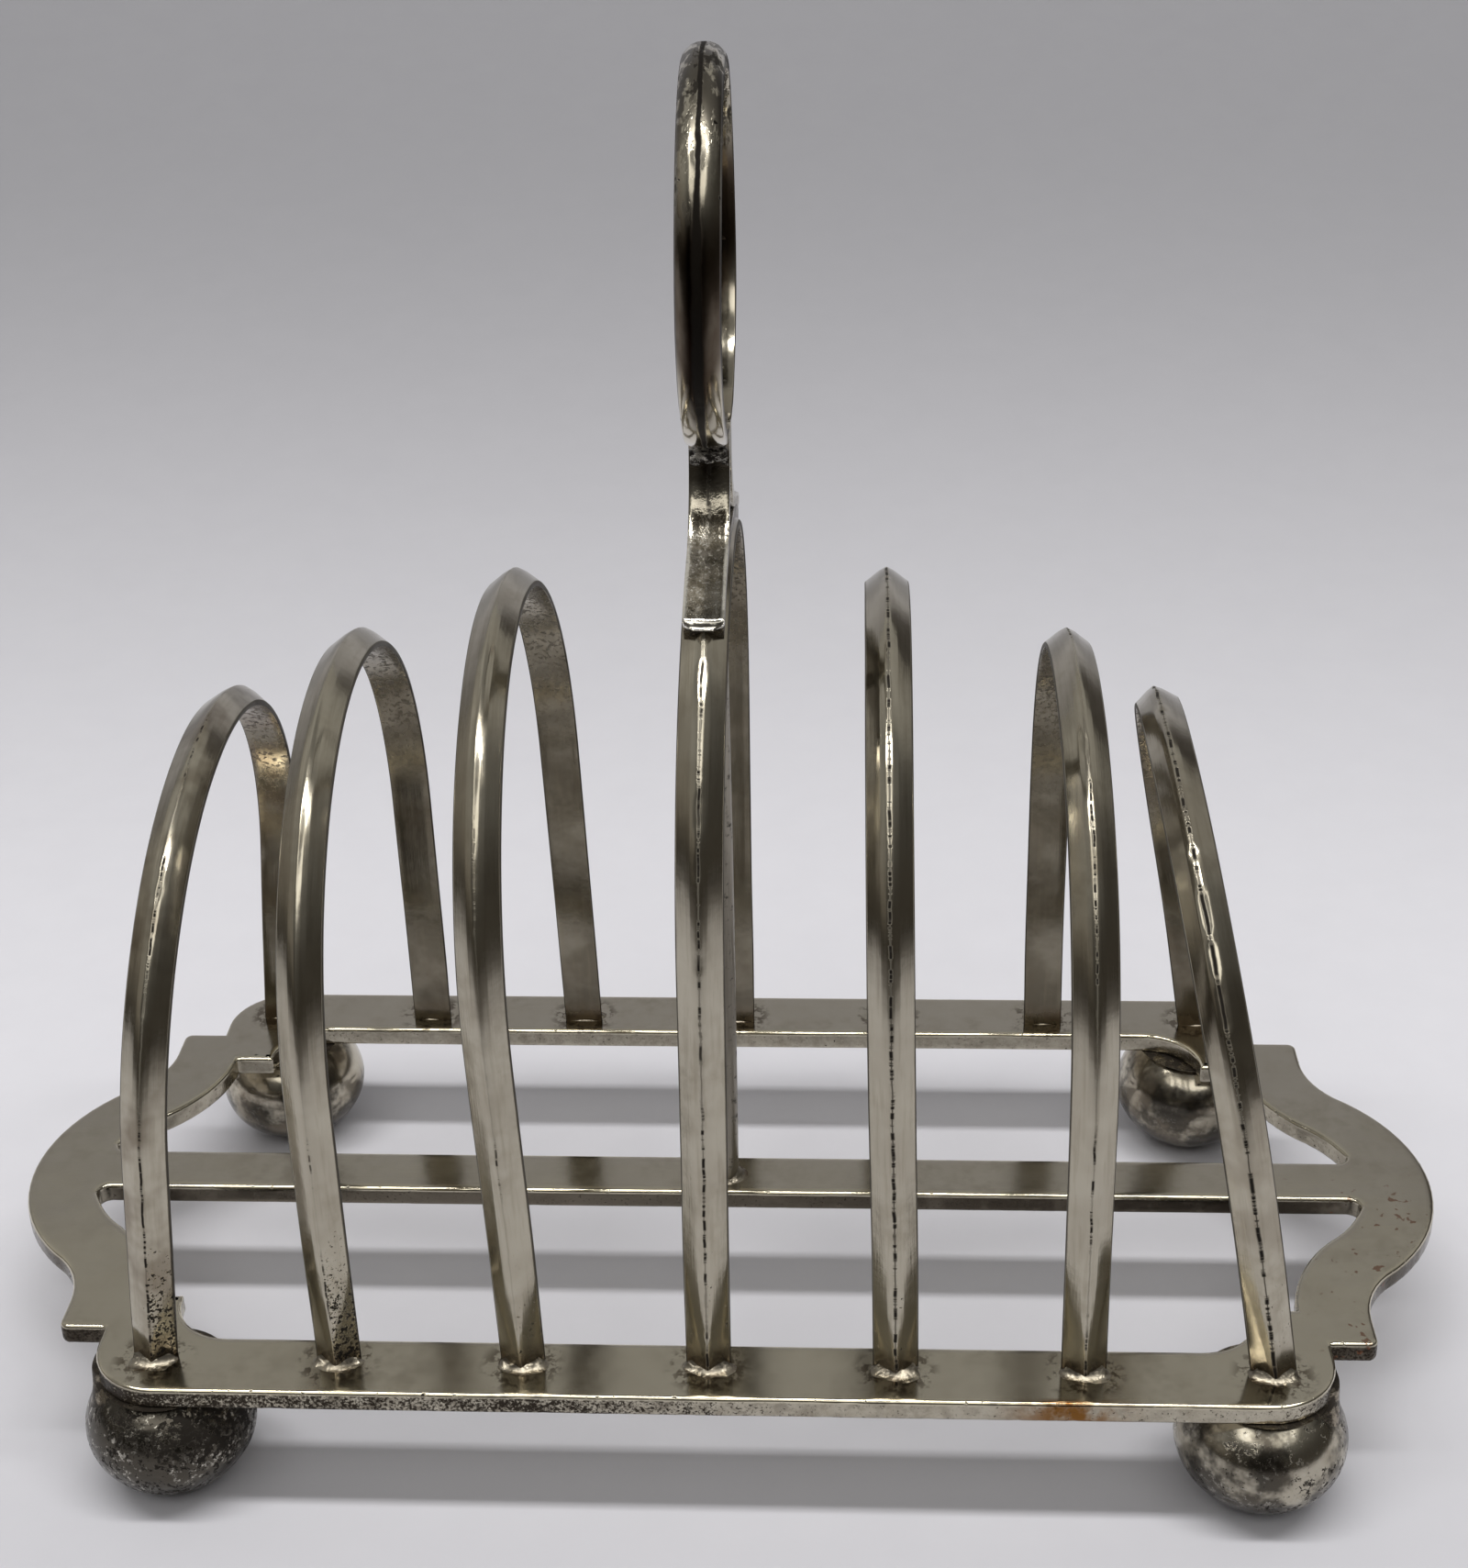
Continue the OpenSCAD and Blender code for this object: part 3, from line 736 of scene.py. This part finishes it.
def bar_solder():
    c, s = np.cos(turns(POOL_SIDES)), np.sin(turns(POOL_SIDES))
    verts, faces, rim = [], [], []
    for index, node in enumerate(BARS):
        x0, _, radius, _ = read_bar(node)
        for sign in (-1, 1):
            seed = index * 2 + (sign > 0) + 300
            inner = np.stack([c * 2.35, s * 0.95 * (1 - 0.25 * np.abs(c))], 1)
            wob = 1 + 0.22 * noise3(np.stack([c * 3, s * 3, 0 * c], 1), 2.2, seed)
            reach = np.where(s * sign > 0, 2.9, 1.8)
            outer = np.stack([c * (3.3 + 0.3 * s * sign) * wob, s * reach * wob], 1)
            faces += pool_faces(len(verts) * POOL_RINGS * POOL_SIDES)
            points, t = pool(np.array([x0, sign * (radius - BAR_DEPTH / 2)]), inner, outer, 0.46, seed)
            verts.append(points)
            rim += t
    add_piece("bar_solder_looks", np.concatenate(verts), faces, MATERIALS["solder"],
              {"rim": rim}, "bar_solder")


def post_solder():
    angle = turns(POOL_SIDES)
    ring = np.stack([np.cos(angle), np.sin(angle)], 1)
    wob = (1 + 0.12 * noise1(np.arange(POOL_SIDES), 6, 340))[:, None]
    low, high = box_mm("centre_post")
    radius = (high[0] - low[0]) / 2
    points, rim = pool(np.zeros(2), ring * (radius - 0.1), ring * (radius + 1.3) * wob, 0.8, 341)
    add_piece("post_solder_looks", points, pool_faces(), MATERIALS["solder"],
              {"rim": rim}, "post_solder")


def read_foot(node):
    """Middle of a ball, its radius and the middle of its full, unworn height."""
    low, high = box_mm(node)
    return (low + high) / 2, (high[0] - low[0]) / 2, low[2] - BALL_SINK + BALL_HEIGHT / 2


def foot_webs():
    """Solder shoulder that fills from each ball up to the plate's corner, one closed lump per foot."""
    rows, cols = 14, 40
    bottom, top = 10.6, DECK - 1.1
    verts, faces, rim = [], [], []
    for node in FEET:
        c, radius, middle = read_foot(node)
        sx, sy = np.sign(c[0]), np.sign(c[1])
        half = BALL_HEIGHT / 2
        faces += tube_faces(cols, rows + 2, len(verts))
        for k in range(cols):
            degrees = -62 + 116 * k / (cols - 1)
            a = math.radians(degrees)
            show = float(smooth(degrees, -60, -34) * (1 - smooth(degrees, 12, 50)))
            for t in np.arange(rows) / (rows - 1):
                z = bottom + (top - bottom) * t
                rise = (z - middle) / half
                ball = radius * math.sqrt(max(0.02, 1 - rise ** 2)) if rise < 1 else 1.5
                full = 9.75 - 1.35 * t ** 0.8 - 0.25 * math.sin(math.pi * t)
                reach = ball - 0.35 + (full - ball + 0.35) * show
                verts.append((c[0] + sx * reach * math.cos(a), c[1] + sy * reach * math.sin(a), z))
                rim.append(t)
            for z in (top, bottom):
                verts.append((c[0] + sx * 1.2 * math.cos(a), c[1] + sy * 1.2 * math.sin(a), z))
                rim.append(0.5)
    verts = np.array(verts)
    verts[:, :2] += 0.10 * noise3(verts, 2.0, 350)[:, None] * smooth(verts[:, 2], 10.7, 12.0)[:, None]
    add_piece("foot_web_solder", verts, faces, MATERIALS["burnt"], {"rim": rim})


# -------- feet and post

def foot_piece(node, index):
    low, high = box_mm(node)
    c, radius, middle = read_foot(node)
    half = BALL_HEIGHT / 2
    rows, cols = 90, 144
    top = math.asin(min(1, (high[2] - middle) / half))
    bottom = -math.asin((middle - low[2]) / half)
    lat = np.repeat(np.linspace(bottom, top, rows), cols)
    lon = np.tile(turns(cols), rows)
    n = np.stack([np.cos(lat) * np.cos(lon), np.cos(lat) * np.sin(lon), np.sin(lat)], 1)
    p = n * radius + c * [1, 1, 0]
    bulge = 0.09 * noise3(p, 8, 400 + index) + 0.03 * noise3(p, 2.6, 410 + index)
    pits = smooth(noise3(p, 0.9, 420 + index) + 0.6 * noise3(p, 5, 430 + index), 0.72, 1.05)
    grow = radius + bulge - 0.09 * pits - np.abs(0.05 * noise3(p, 15, 440 + index))
    verts = n * grow[:, None] * [1, 1, half / radius] + [c[0], c[1], middle]
    verts[:, 2] = np.clip(verts[:, 2], low[2], high[2])
    material = foot_material(f"ball_plate_{index}", 90.0 + 7 * index, **FEET[node])
    add_piece(f"{node}_looks", verts, tube_faces(rows, cols), material,
              {"seam": smooth(lat, top - 0.16, top - 0.02)}, node)


def post_piece():
    low, high = box_mm("centre_post")
    radius = (high[0] - low[0]) / 2
    rows, cols = 180, 32
    z = np.linspace(DECK - 0.8, high[2] - 0.02, rows)
    angle = np.tile(turns(cols), rows)
    verts = np.stack([np.cos(angle), np.sin(angle), np.repeat(z, cols)], 1)
    r = radius * (1 - 0.015 * np.abs(noise3(verts * [radius, radius, 1], 6, 500)))
    verts[:, :2] *= r[:, None]
    verts[:, 0] += 0.12 * np.sin((verts[:, 2] - DECK) / (high[2] - DECK) * math.pi)
    add_piece("centre_post_looks", verts, tube_faces(rows, cols), MATERIALS["post"],
              {}, "centre_post")


# -------- the handle

# Sizes in the plane of the centre bar, with heights measured along the bar from the plate's top
CENTRE_X, LEAN, CROWN, LEG = read_bar("bar_4")
HANDLE_LOW, HANDLE_HIGH = box_mm("handle")
RING_R = (HANDLE_HIGH[1] - HANDLE_LOW[1]) / 2
RING_Z = (HANDLE_HIGH[2] - DECK) / math.cos(LEAN) - RING_R
RING_BOTTOM = RING_Z - RING_R


def handle_twist(z, y):
    """The ring is twisted a little, so that its back stands to the left."""
    return -0.35 * smooth(z, RING_BOTTOM, RING_Z + RING_R) * (y / RING_R)


ON_BAR = plane_place(CENTRE_X, LEAN, lambda z, y: 0.0)


def handle_ring():
    inner = RING_R - RING_DEPTH
    gap = math.asin(1.9 / RING_R)
    turn = np.linspace(gap - math.pi / 2, 1.5 * math.pi - gap, int(2 * math.pi * RING_R / 0.45))
    out = np.stack([np.cos(turn), np.sin(turn)], 1)
    path = inner * out + [0, RING_Z]
    s = arc_length(path)
    n = len(s)
    crest = 0.75 * (1 + 0.12 * noise1(s, 9, 600))
    u, d = ridged_rows(RING_W, RING_DEPTH, BAR_EDGE, crest, np.full(n, 2.15), np.ones(n))
    # worn round between the edges, squarer towards the top
    reach = np.abs(u) / (RING_W / 2)
    square = (0.35 + 0.65 * smooth(out[:, 1], -0.98, -0.45))[:, None]
    dome = RING_DEPTH - 0.10 - 0.12 * np.sqrt(reach ** 2 + 0.01)
    dome = dome - 1.34 * square * reach ** (6.0 - 3.0 * square)
    d = np.where(d > BAR_EDGE * 1.02, np.maximum(dome, BAR_EDGE), d)
    taper = 0.97 + 0.03 * smooth(np.minimum(s, s[-1] - s), 0, 4)
    u = u * (taper * (1 + 0.015 * noise1(s, 10, 601)))[:, None]
    sweep_ridged("handle_ring", "handle", path, out, plane_place(CENTRE_X, LEAN, handle_twist), (u, d),
                 gashes(s, 640, 0.8), MATERIALS["handle"], np.full(n, 30.0), 610)


def foot_path():
    """Outer line of one handle foot, its outward direction and its thickness: neck, sweep and lip."""
    neck_y, sweep_end, lip_angle, step = 3.0, math.radians(15), math.radians(29.5), 0.35
    lip_r = CROWN + 0.1 + LIP_DEPTH
    sweep_r = (lip_r * math.sin(sweep_end) - neck_y) / (1 - math.sin(sweep_end))
    sy, sz = neck_y + sweep_r, LEG + (lip_r + sweep_r) * math.cos(sweep_end)
    line = np.linspace(RING_BOTTOM + RING_DEPTH - 0.5, sz, 24)[:-1]
    turn = np.linspace(0, math.pi / 2 - sweep_end, int(sweep_r * 1.3 / step))
    lip = np.linspace(sweep_end, lip_angle, int(CROWN * 0.25 / step))[1:]
    y = np.concatenate([np.full(len(line), neck_y), sy - sweep_r * np.cos(turn), lip_r * np.sin(lip)])
    z = np.concatenate([line, sz - sweep_r * np.sin(turn), LEG + lip_r * np.cos(lip)])
    angle = np.concatenate([np.zeros(len(line)), turn, math.pi / 2 - lip])
    thick = np.concatenate([np.full(len(line), RING_DEPTH), np.linspace(RING_DEPTH, LIP_DEPTH, len(turn)),
                            np.full(len(lip), LIP_DEPTH)])
    return np.stack([y, z], 1), np.stack([np.cos(angle), np.sin(angle)], 1), thick


def handle_foot(side, name):
    path, out, thick = foot_path()
    s = arc_length(path)
    left = s[-1] - s
    tip = np.clip(left, 0, LIP_CORNER)
    narrow = LIP_CORNER - np.sqrt(np.maximum(LIP_CORNER ** 2 - (LIP_CORNER - tip) ** 2, 0))
    half = NECK_W / 2 - narrow * 0.95
    flat = smooth(s, 3.5, 12)[:, None]
    # upper face: rounded on the neck, with a raised border on the lip
    across = np.array([0, 0.3, 0.6, 0.8, 0.9, 0.96, 0.99, 1.0])
    upper = -0.34 * (1 - flat) * across ** 1.4 - 0.528 * np.clip(across - 0.86, 0, 1) ** 1.2
    upper = upper + 0.12 * flat * np.exp(-((across - 0.84) / 0.10) ** 2)
    upper = upper - (0.75 * (1 - smooth(left, 0, 0.9)) ** 1.6)[:, None]
    # edge and underside, thinner at the tip
    thick = thick * (0.45 + 0.55 * smooth(left, 0, 1.6))
    right = half[:, None] * np.concatenate([across, [1, 1, 0.97, 0.5]])
    right_d = np.concatenate([upper, -thick[:, None] * [0.35, 0.8, 0.98, 1]], 1)
    u = np.concatenate([right, -right[:, :0:-1]], 1)
    d = np.concatenate([right_d, right_d[:, :0:-1]], 1)
    rows, cols = u.shape
    y = (path[:, :1] + out[:, :1] * d).ravel()
    z = (path[:, 1:] + out[:, 1:] * d).ravel()
    base = ON_BAR(u.ravel(), side * y, z)
    outer = (d > -0.5).ravel()
    mess = 0.10 * noise3(base, 1.1, 700) * np.repeat(smooth(s, 8, 1.5), cols)
    hammer = 0.05 * noise3(base, 2.2, 701) * np.repeat(smooth(s, 8, 13) * smooth(left, 4, 8), cols)
    shift = np.where(outer, mess + hammer + 0.02 * noise3(base, 0.8, 702), 0)
    out_y, out_z = np.repeat(out[:, 0], cols), np.repeat(out[:, 1], cols)
    base = ON_BAR(u.ravel(), side * (y + out_y * shift), z + out_z * shift)
    attrs = {"u": u, "s": np.repeat(s, cols), "left": np.repeat(left, cols), "outer": outer.astype(float)}
    add_piece(name, base, tube_faces(rows, cols), MATERIALS["handle_foot"], attrs)


def neck_fill():
    """Solder that closes the slot between the two halves of the neck and runs into the ring."""
    rows, cols = 40, 28
    top, low = RING_BOTTOM + RING_DEPTH + 0.15, RING_BOTTOM - 11.5
    c, s = np.cos(turns(cols)), np.sin(turns(cols))
    verts = []
    for t in np.arange(rows) / (rows - 1):
        half_y = 1.35 if t < 0.9 else 1.35 + 1.4 * ((t - 0.9) / 0.1) ** 2
        x = np.sign(c) * np.abs(c) ** 0.45 * (NECK_W / 2 - 0.28)
        y = np.sign(s) * np.abs(s) ** 0.45 * half_y
        verts.append(np.stack([x, y, np.full(cols, low + (top - low) * t)], 1))
    v = np.concatenate(verts)
    v[:, 0] *= 1 + 0.06 * noise3(v, 2.0, 720)
    add_piece("neck_solder", ON_BAR(*v.T), tube_faces(rows, cols), MATERIALS["solder"],
              {"rim": [0.5] * len(v)})


def neck_blob(side, name):
    """Rough fillet in the corner between the ring's end and the face of the neck."""
    rows, cols = 14, 26
    verts, rim = [], []
    for t in np.arange(rows) / (rows - 1):
        a = t * math.pi / 2
        out_y = 2.6 * (1 - math.cos(a))
        z = RING_BOTTOM - 2.6 * (1 - math.sin(a)) + 0.35 * t
        for w in np.linspace(-1, 1, cols):
            pull = 1 - abs(w) ** 3 * 0.35
            verts.append((w * 2.15, side * (2.9 + out_y * pull), z + 0.5 * w ** 2 * (1 - t)))
            rim.append(0.15 + 0.3 * abs(w))
    v = np.array(verts)
    v[:, 1] += side * 0.16 * noise3(v, 0.9, 730)
    v[:, 2] += (0.16 + 0.45 * smooth(RING_BOTTOM - v[:, 2], 1.2, 2.6)) * noise3(v, 1.3, 731)
    # the back is closed by a fan from the border to one point inside the neck
    border = ([(0, k) for k in range(cols)] + [(r, cols - 1) for r in range(1, rows)]
              + [(rows - 1, k) for k in range(cols - 2, -1, -1)] + [(r, 0) for r in range(rows - 2, 0, -1)])
    ids = [r * cols + k for r, k in border]
    faces = grid_faces(rows, cols, wrap_cols=False)
    faces += [(a, b, len(v)) for a, b in zip(ids, ids[1:] + ids[:1])]
    v = np.concatenate([v, [[0, side * 2.3, RING_BOTTOM + 0.9]]])
    add_piece(name, ON_BAR(*v.T), faces, MATERIALS["mess"], {"rim": rim + [0.2]})


def ring_material():
    sh = Shader("ring_plate")
    u, s, high = sh.attr("u"), sh.attr("s"), sh.attr("high")
    rough = silver_base(sh, 120.0, 0.6)
    # brown to black on the flanks of the ring, bright near the top
    sink = high - abs(u) * 0.16
    belly = sh.step(sink, -0.95, -0.55) * sh.fall(high, 0.2, 0.62)
    cloud = sh.step(sh.noise(6, 4, 0.6, 122.0, sh.stretch((1, 1, 0.35))), 0.20, 0.50, 0.55, 1.0)
    sh.stain((0.085, 0.062, 0.043), belly, cloud, 0.96)
    core = abs(u + cloud * 0.3)
    sh.stain((0.010, 0.006, 0.004), belly, sh.step(core, 0.5, 1.7, 1.0, 0.15))
    # plate peeled off the top, and bare metal at the root
    grain = sh.xyz(u, s * 0.42, 3.0)
    worn = sh.step(sh.noise(1.9 / MM, 4, 0.7, 124.0, grain), 0.45, 0.51)
    peel = worn * sh.step(high, 0.4, 0.9)
    sh.stain((0.062, 0.054, 0.043), peel, 0.88)
    root = sh.step(high, -0.90, -0.96)
    sh.stain((0.27, 0.24, 0.185), root, 0.75)
    # black line of uneven width on the ridge, with blots near the top
    wander = (sh.beads(s, 5.0, 4, 3, 0.7, 1.0) - 0.5) * 0.6
    width = 0.12 + belly * 0.35 + sh.beads(s, 7.0, 2.5, 3, 0.6, 3.0) * 0.45
    line = sh.fall(sh.math("DIVIDE", abs(u + wander), width), 0.5, 1.1)
    crest = line * sh.attr("outer") * sh.step(sh.beads(s, 9.0, 9, 4, 0.7, 2.0), 0.3, 0.4)
    blot = sh.step(sh.noise(2.6 / MM, 4, 0.65, 127.0, grain), 0.54, 0.58) * sh.step(high, 0.2, 0.6)
    pit = sh.patches(0.95, 2, 0.5, 126.0, 0.70, 0.725)
    edge = sh.step(abs(u), 2.24, 2.38)
    black = sh.most(crest, blot * 0.9, pit, edge * 0.85)
    sh.stain((0.008, 0.006, 0.004), black)
    rough = rough + 0.03 + black * 0.3 + peel * 0.2 + belly * 0.05 + root * 0.3
    normal = sh.bump(peel * -0.5 - black * 0.8, 0.5, 0.08)
    normal = sh.bump(sh.noise(1.8, 2, 0.5, 128.0), 0.2, 0.12, normal)
    return sh.finish(1.0 - black * 0.75, rough, normal)


def lip_material():
    sh = Shader("hammered_lip")
    u, s, left = sh.attr("u"), sh.attr("s"), sh.attr("left")
    wide = abs(u)
    rough = silver_base(sh, 140.0, 0.4)
    # painted shade on the neck under the ring, then a painted highlight band where it sweeps out
    ragged = s + (sh.noise(2.2, 4, 0.7, 141.0) - 0.5) * 9.0
    shade = sh.step(ragged, -2.0, 3.0) * sh.fall(ragged, 4.0, 12.0)
    sh.stain((0.022, 0.016, 0.010), shade, sh.step(wide, 0.4, 1.9, 1.0, 0.55), 0.97)
    painted_sweep_highlight = sh.step(ragged, 9.0, 14.0) * sh.step(u, -0.2, 0.9, 1.0, 0.25)
    sh.stain((1.0, 0.96, 0.86), painted_sweep_highlight, sh.patches(1.1, 4, 0.7, 143.0, 0.36, 0.56))
    # painted highlight round the lip's rim, and a slate cast inside it
    border = sh.most(sh.step(wide, 1.85, 2.10), sh.step(left, 0.7, 0.2))
    border = border * sh.step(s, 12.0, 15.0) * sh.patches(1.4, 3, 0.6, 145.0, 0.3, 0.5, 0.4, 1.0)
    sh.stain((0.95, 0.92, 0.84), border, 0.8)
    slate = sh.step(left, 9.0, 6.0) * sh.step(u, -0.5, 0.3) * 0.75
    sh.stain((0.27, 0.26, 0.235), slate, 1.0 - border)
    # black grit and the middle groove, and painted shade on the underside past the sweep
    grit = sh.step(s, 9.0, 13.0) * sh.step(left, 1.0, 5.0)
    speck = grit * sh.patches(0.5, 3, 0.7, 142.0, 0.56, 0.62)
    groove = sh.fall(wide, 0.1, 0.4) * sh.patches(1.3, 3, 0.6, 144.0, 0.47, 0.56)
    end = sh.step(sh.attr("outer"), 0.45, 0.05)
    black = sh.most(speck * 0.55, groove * sh.step(s, 16.0, 8.0) * 0.8, end * sh.step(s, 9.0, 14.0) * 0.45)
    sh.stain(SOOT, black)
    rough = rough + black * 0.35 + grit * 0.08
    normal = sh.bump(sh.noise(0.7, 3, 0.7, 146.0), 0.5, 0.10)
    normal = sh.bump(sh.noise(2.5, 2, 0.5, 148.0), 0.25, 0.2, normal)
    return sh.finish(1.0 - black * 0.7, rough, normal)


def mess_material():
    """Burnt solder in the corner under the ring."""
    sh = Shader("burnt_solder")
    lump = sh.noise(0.9, 4, 0.75, 151.0)
    sh.color = sh.mix(sh.step(lump, 0.45, 0.58), SOOT, (0.62, 0.60, 0.55))
    metal, rough = sh.step(lump, 0.40, 0.55, 0.3, 1.0), sh.step(lump, 0.4, 0.65, 0.55, 0.22)
    return sh.finish(metal, rough, sh.bump(lump, 0.8, 0.3))


def burnt_material():
    """Dark joint between a ball and the plate."""
    sh = Shader("dark_joint")
    lump = sh.noise(1.6, 4, 0.7, 155.0)
    sh.color = sh.mix(sh.step(lump, 0.44, 0.62), (0.05, 0.042, 0.034), (0.33, 0.29, 0.225))
    metal, rough = sh.step(lump, 0.42, 0.6, 0.6, 1.0), sh.step(lump, 0.4, 0.65, 0.40, 0.20)
    return sh.finish(metal, rough, sh.bump(lump, 0.5, 0.25))


# -------- stage, light, camera

def paper():
    sh = Shader("pale_paper")
    x, y, z = sh.split()
    sh.color = sh.mix(sh.noise(9, 4, 0.6, 160.0), (0.755, 0.757, 0.815), (0.80, 0.802, 0.86))
    # painted shade: the paper darkens towards the back, less so high up the curve, and a little towards the
    # front
    gloom = sh.step(y, 0.04, 0.46, 0.0, 0.52) * sh.step(z, 0.08, 0.22, 1.0, 0.5)
    sh.stain((0.0, 0.0, 0.0), sh.most(gloom, sh.step(y, 0.03, -0.06, 0.0, 0.16)))
    # painted reflection shade: for glossy rays only the paper darkens towards the front and the right, so
    # the silver mirrors a darker room there
    painted_reflection_shade = sh.most(sh.step(y, -0.05, -0.32), sh.step(x, 0.30, 0.60))
    sh.stain((0.05, 0.04, 0.03), painted_reflection_shade, sh.made("LightPath", {}, "Is Glossy Ray"), 0.86)
    return sh.finish(0.0, 0.85, sh.bump(sh.noise(0.6, 3, 0.6, 161.0), 0.12, 0.1))


def stage():
    """A sheet of pale paper that curves up behind the object."""
    start, radius, width = 130.0, 900.0, 5000.0
    turn = np.linspace(0, math.radians(82), 40)
    y = np.concatenate([[-5000, -600, -200, 0], start + radius * np.sin(turn)])
    z = np.concatenate([np.zeros(4), radius * (1 - np.cos(turn))])
    verts = [(x * width, yy, zz) for yy, zz in zip(y, z) for x in (-1, -0.5, 0, 0.5, 1)]
    smooth_mesh("paper", verts, grid_faces(len(y), 5, wrap_cols=False), paper())


def world():
    """Plain dim room with a bright strip overhead in front, for reflections. The camera sees grey."""
    room = bpy.data.worlds.new("room")
    bpy.context.scene.world = room
    sh = Nodes(room, "Generated")
    x, y, z = sh.split()
    strip = sh.step(z, 0.6, 0.66) * sh.fall(z, 0.8, 0.86) * sh.step(y, 0.15, -0.25)
    strip = strip * sh.fall(abs(x), 0.5, 0.66)
    ceiling = sh.step(z, 0.25, 0.75)
    window = sh.step(x, -0.65, -0.9) * sh.step(z, 0.02, 0.25) * sh.fall(z, 0.55, 0.8)
    behind = sh.step(y, 0.05, 0.35) * sh.step(z, 0.3, 0.5) * sh.fall(z, 0.78, 0.92)
    value = 0.075 + ceiling * 0.12 + strip * 1.6 + window * 0.22 + behind * 0.22
    glow = sh.mix(sh.step(z, 0.0, 0.6), (0.78, 0.70, 0.60), (1.0, 0.98, 0.94))
    lamp = sh.made("Background", {"Color": glow, "Strength": value})
    plain = sh.made("Background", {"Color": (0.60, 0.60, 0.62), "Strength": 0.44})
    seen = sh.made("LightPath", {}, "Is Camera Ray")
    sh.made("OutputWorld", {0: sh.made("MixShader", {0: seen, 1: lamp, 2: plain})})


def tube_light():
    """One long lamp above and in front of the rack."""
    data = bpy.data.lights.new("tube", "AREA")
    data.shape = "RECTANGLE"
    data.size, data.size_y = 1500 * MM, 110 * MM
    data.energy = 9.2
    data.color = (1, 0.985, 0.96)
    place = Vector((0, -150, 1100))
    obj = link("tube", data)
    obj.location = place * MM
    obj.rotation_euler = (-place).to_track_quat("-Z", "Y").to_euler()


def camera():
    """Camera at the angle of the photograph."""
    azimuth, elevation, roll = math.radians(3.063), math.radians(27.067), math.radians(-1.186)
    target = Vector((2.42, 0, DECK + 57.44))
    distance, lens = 301.1, 57.3
    away = Vector((math.sin(azimuth) * math.cos(elevation), -math.cos(azimuth) * math.cos(elevation),
                   math.sin(elevation)))
    right = Vector((math.cos(azimuth), math.sin(azimuth), 0))
    up = away.cross(right)
    turned = right * math.cos(roll) + up * math.sin(roll)
    raised = up * math.cos(roll) - right * math.sin(roll)
    data = bpy.data.cameras.new("camera")
    data.lens, data.sensor_width, data.sensor_fit = lens, 36, "AUTO"
    data.clip_start, data.clip_end = 0.01, 20
    obj = link("camera", data)
    turn = Matrix((turned, raised, away)).transposed().to_4x4()
    obj.matrix_world = Matrix.Translation((target + away * distance) * MM) @ turn
    bpy.context.scene.camera = obj


# -------- build

MATERIALS = {"solder": solder_material(), "post": post_material(), "stud": stud_material(),
             "handle": ring_material(), "handle_foot": lip_material(), "mess": mess_material(),
             "burnt": burnt_material()}
for index, node in enumerate(BARS):
    bar_piece(node, index + 1)
plate_piece()
bar_solder()
post_solder()
foot_webs()
for index, node in enumerate(FEET):
    foot_piece(node, index)
post_piece()
handle_ring()
handle_foot(-1, "handle_foot_front")
handle_foot(1, "handle_foot_back")
neck_fill()
neck_blob(-1, "neck_fillet_front")
neck_blob(1, "neck_fillet_back")
for node, key in (("foot_studs", "stud"), ("handle_solder", "burnt"), ("foot_solder", "burnt")):
    mesh = frame["nodes"][node].data
    mesh.materials.clear()
    mesh.materials.append(MATERIALS[key])
stage()
world()
tube_light()
camera()
bpy.context.scene.view_settings.view_transform = "Standard"
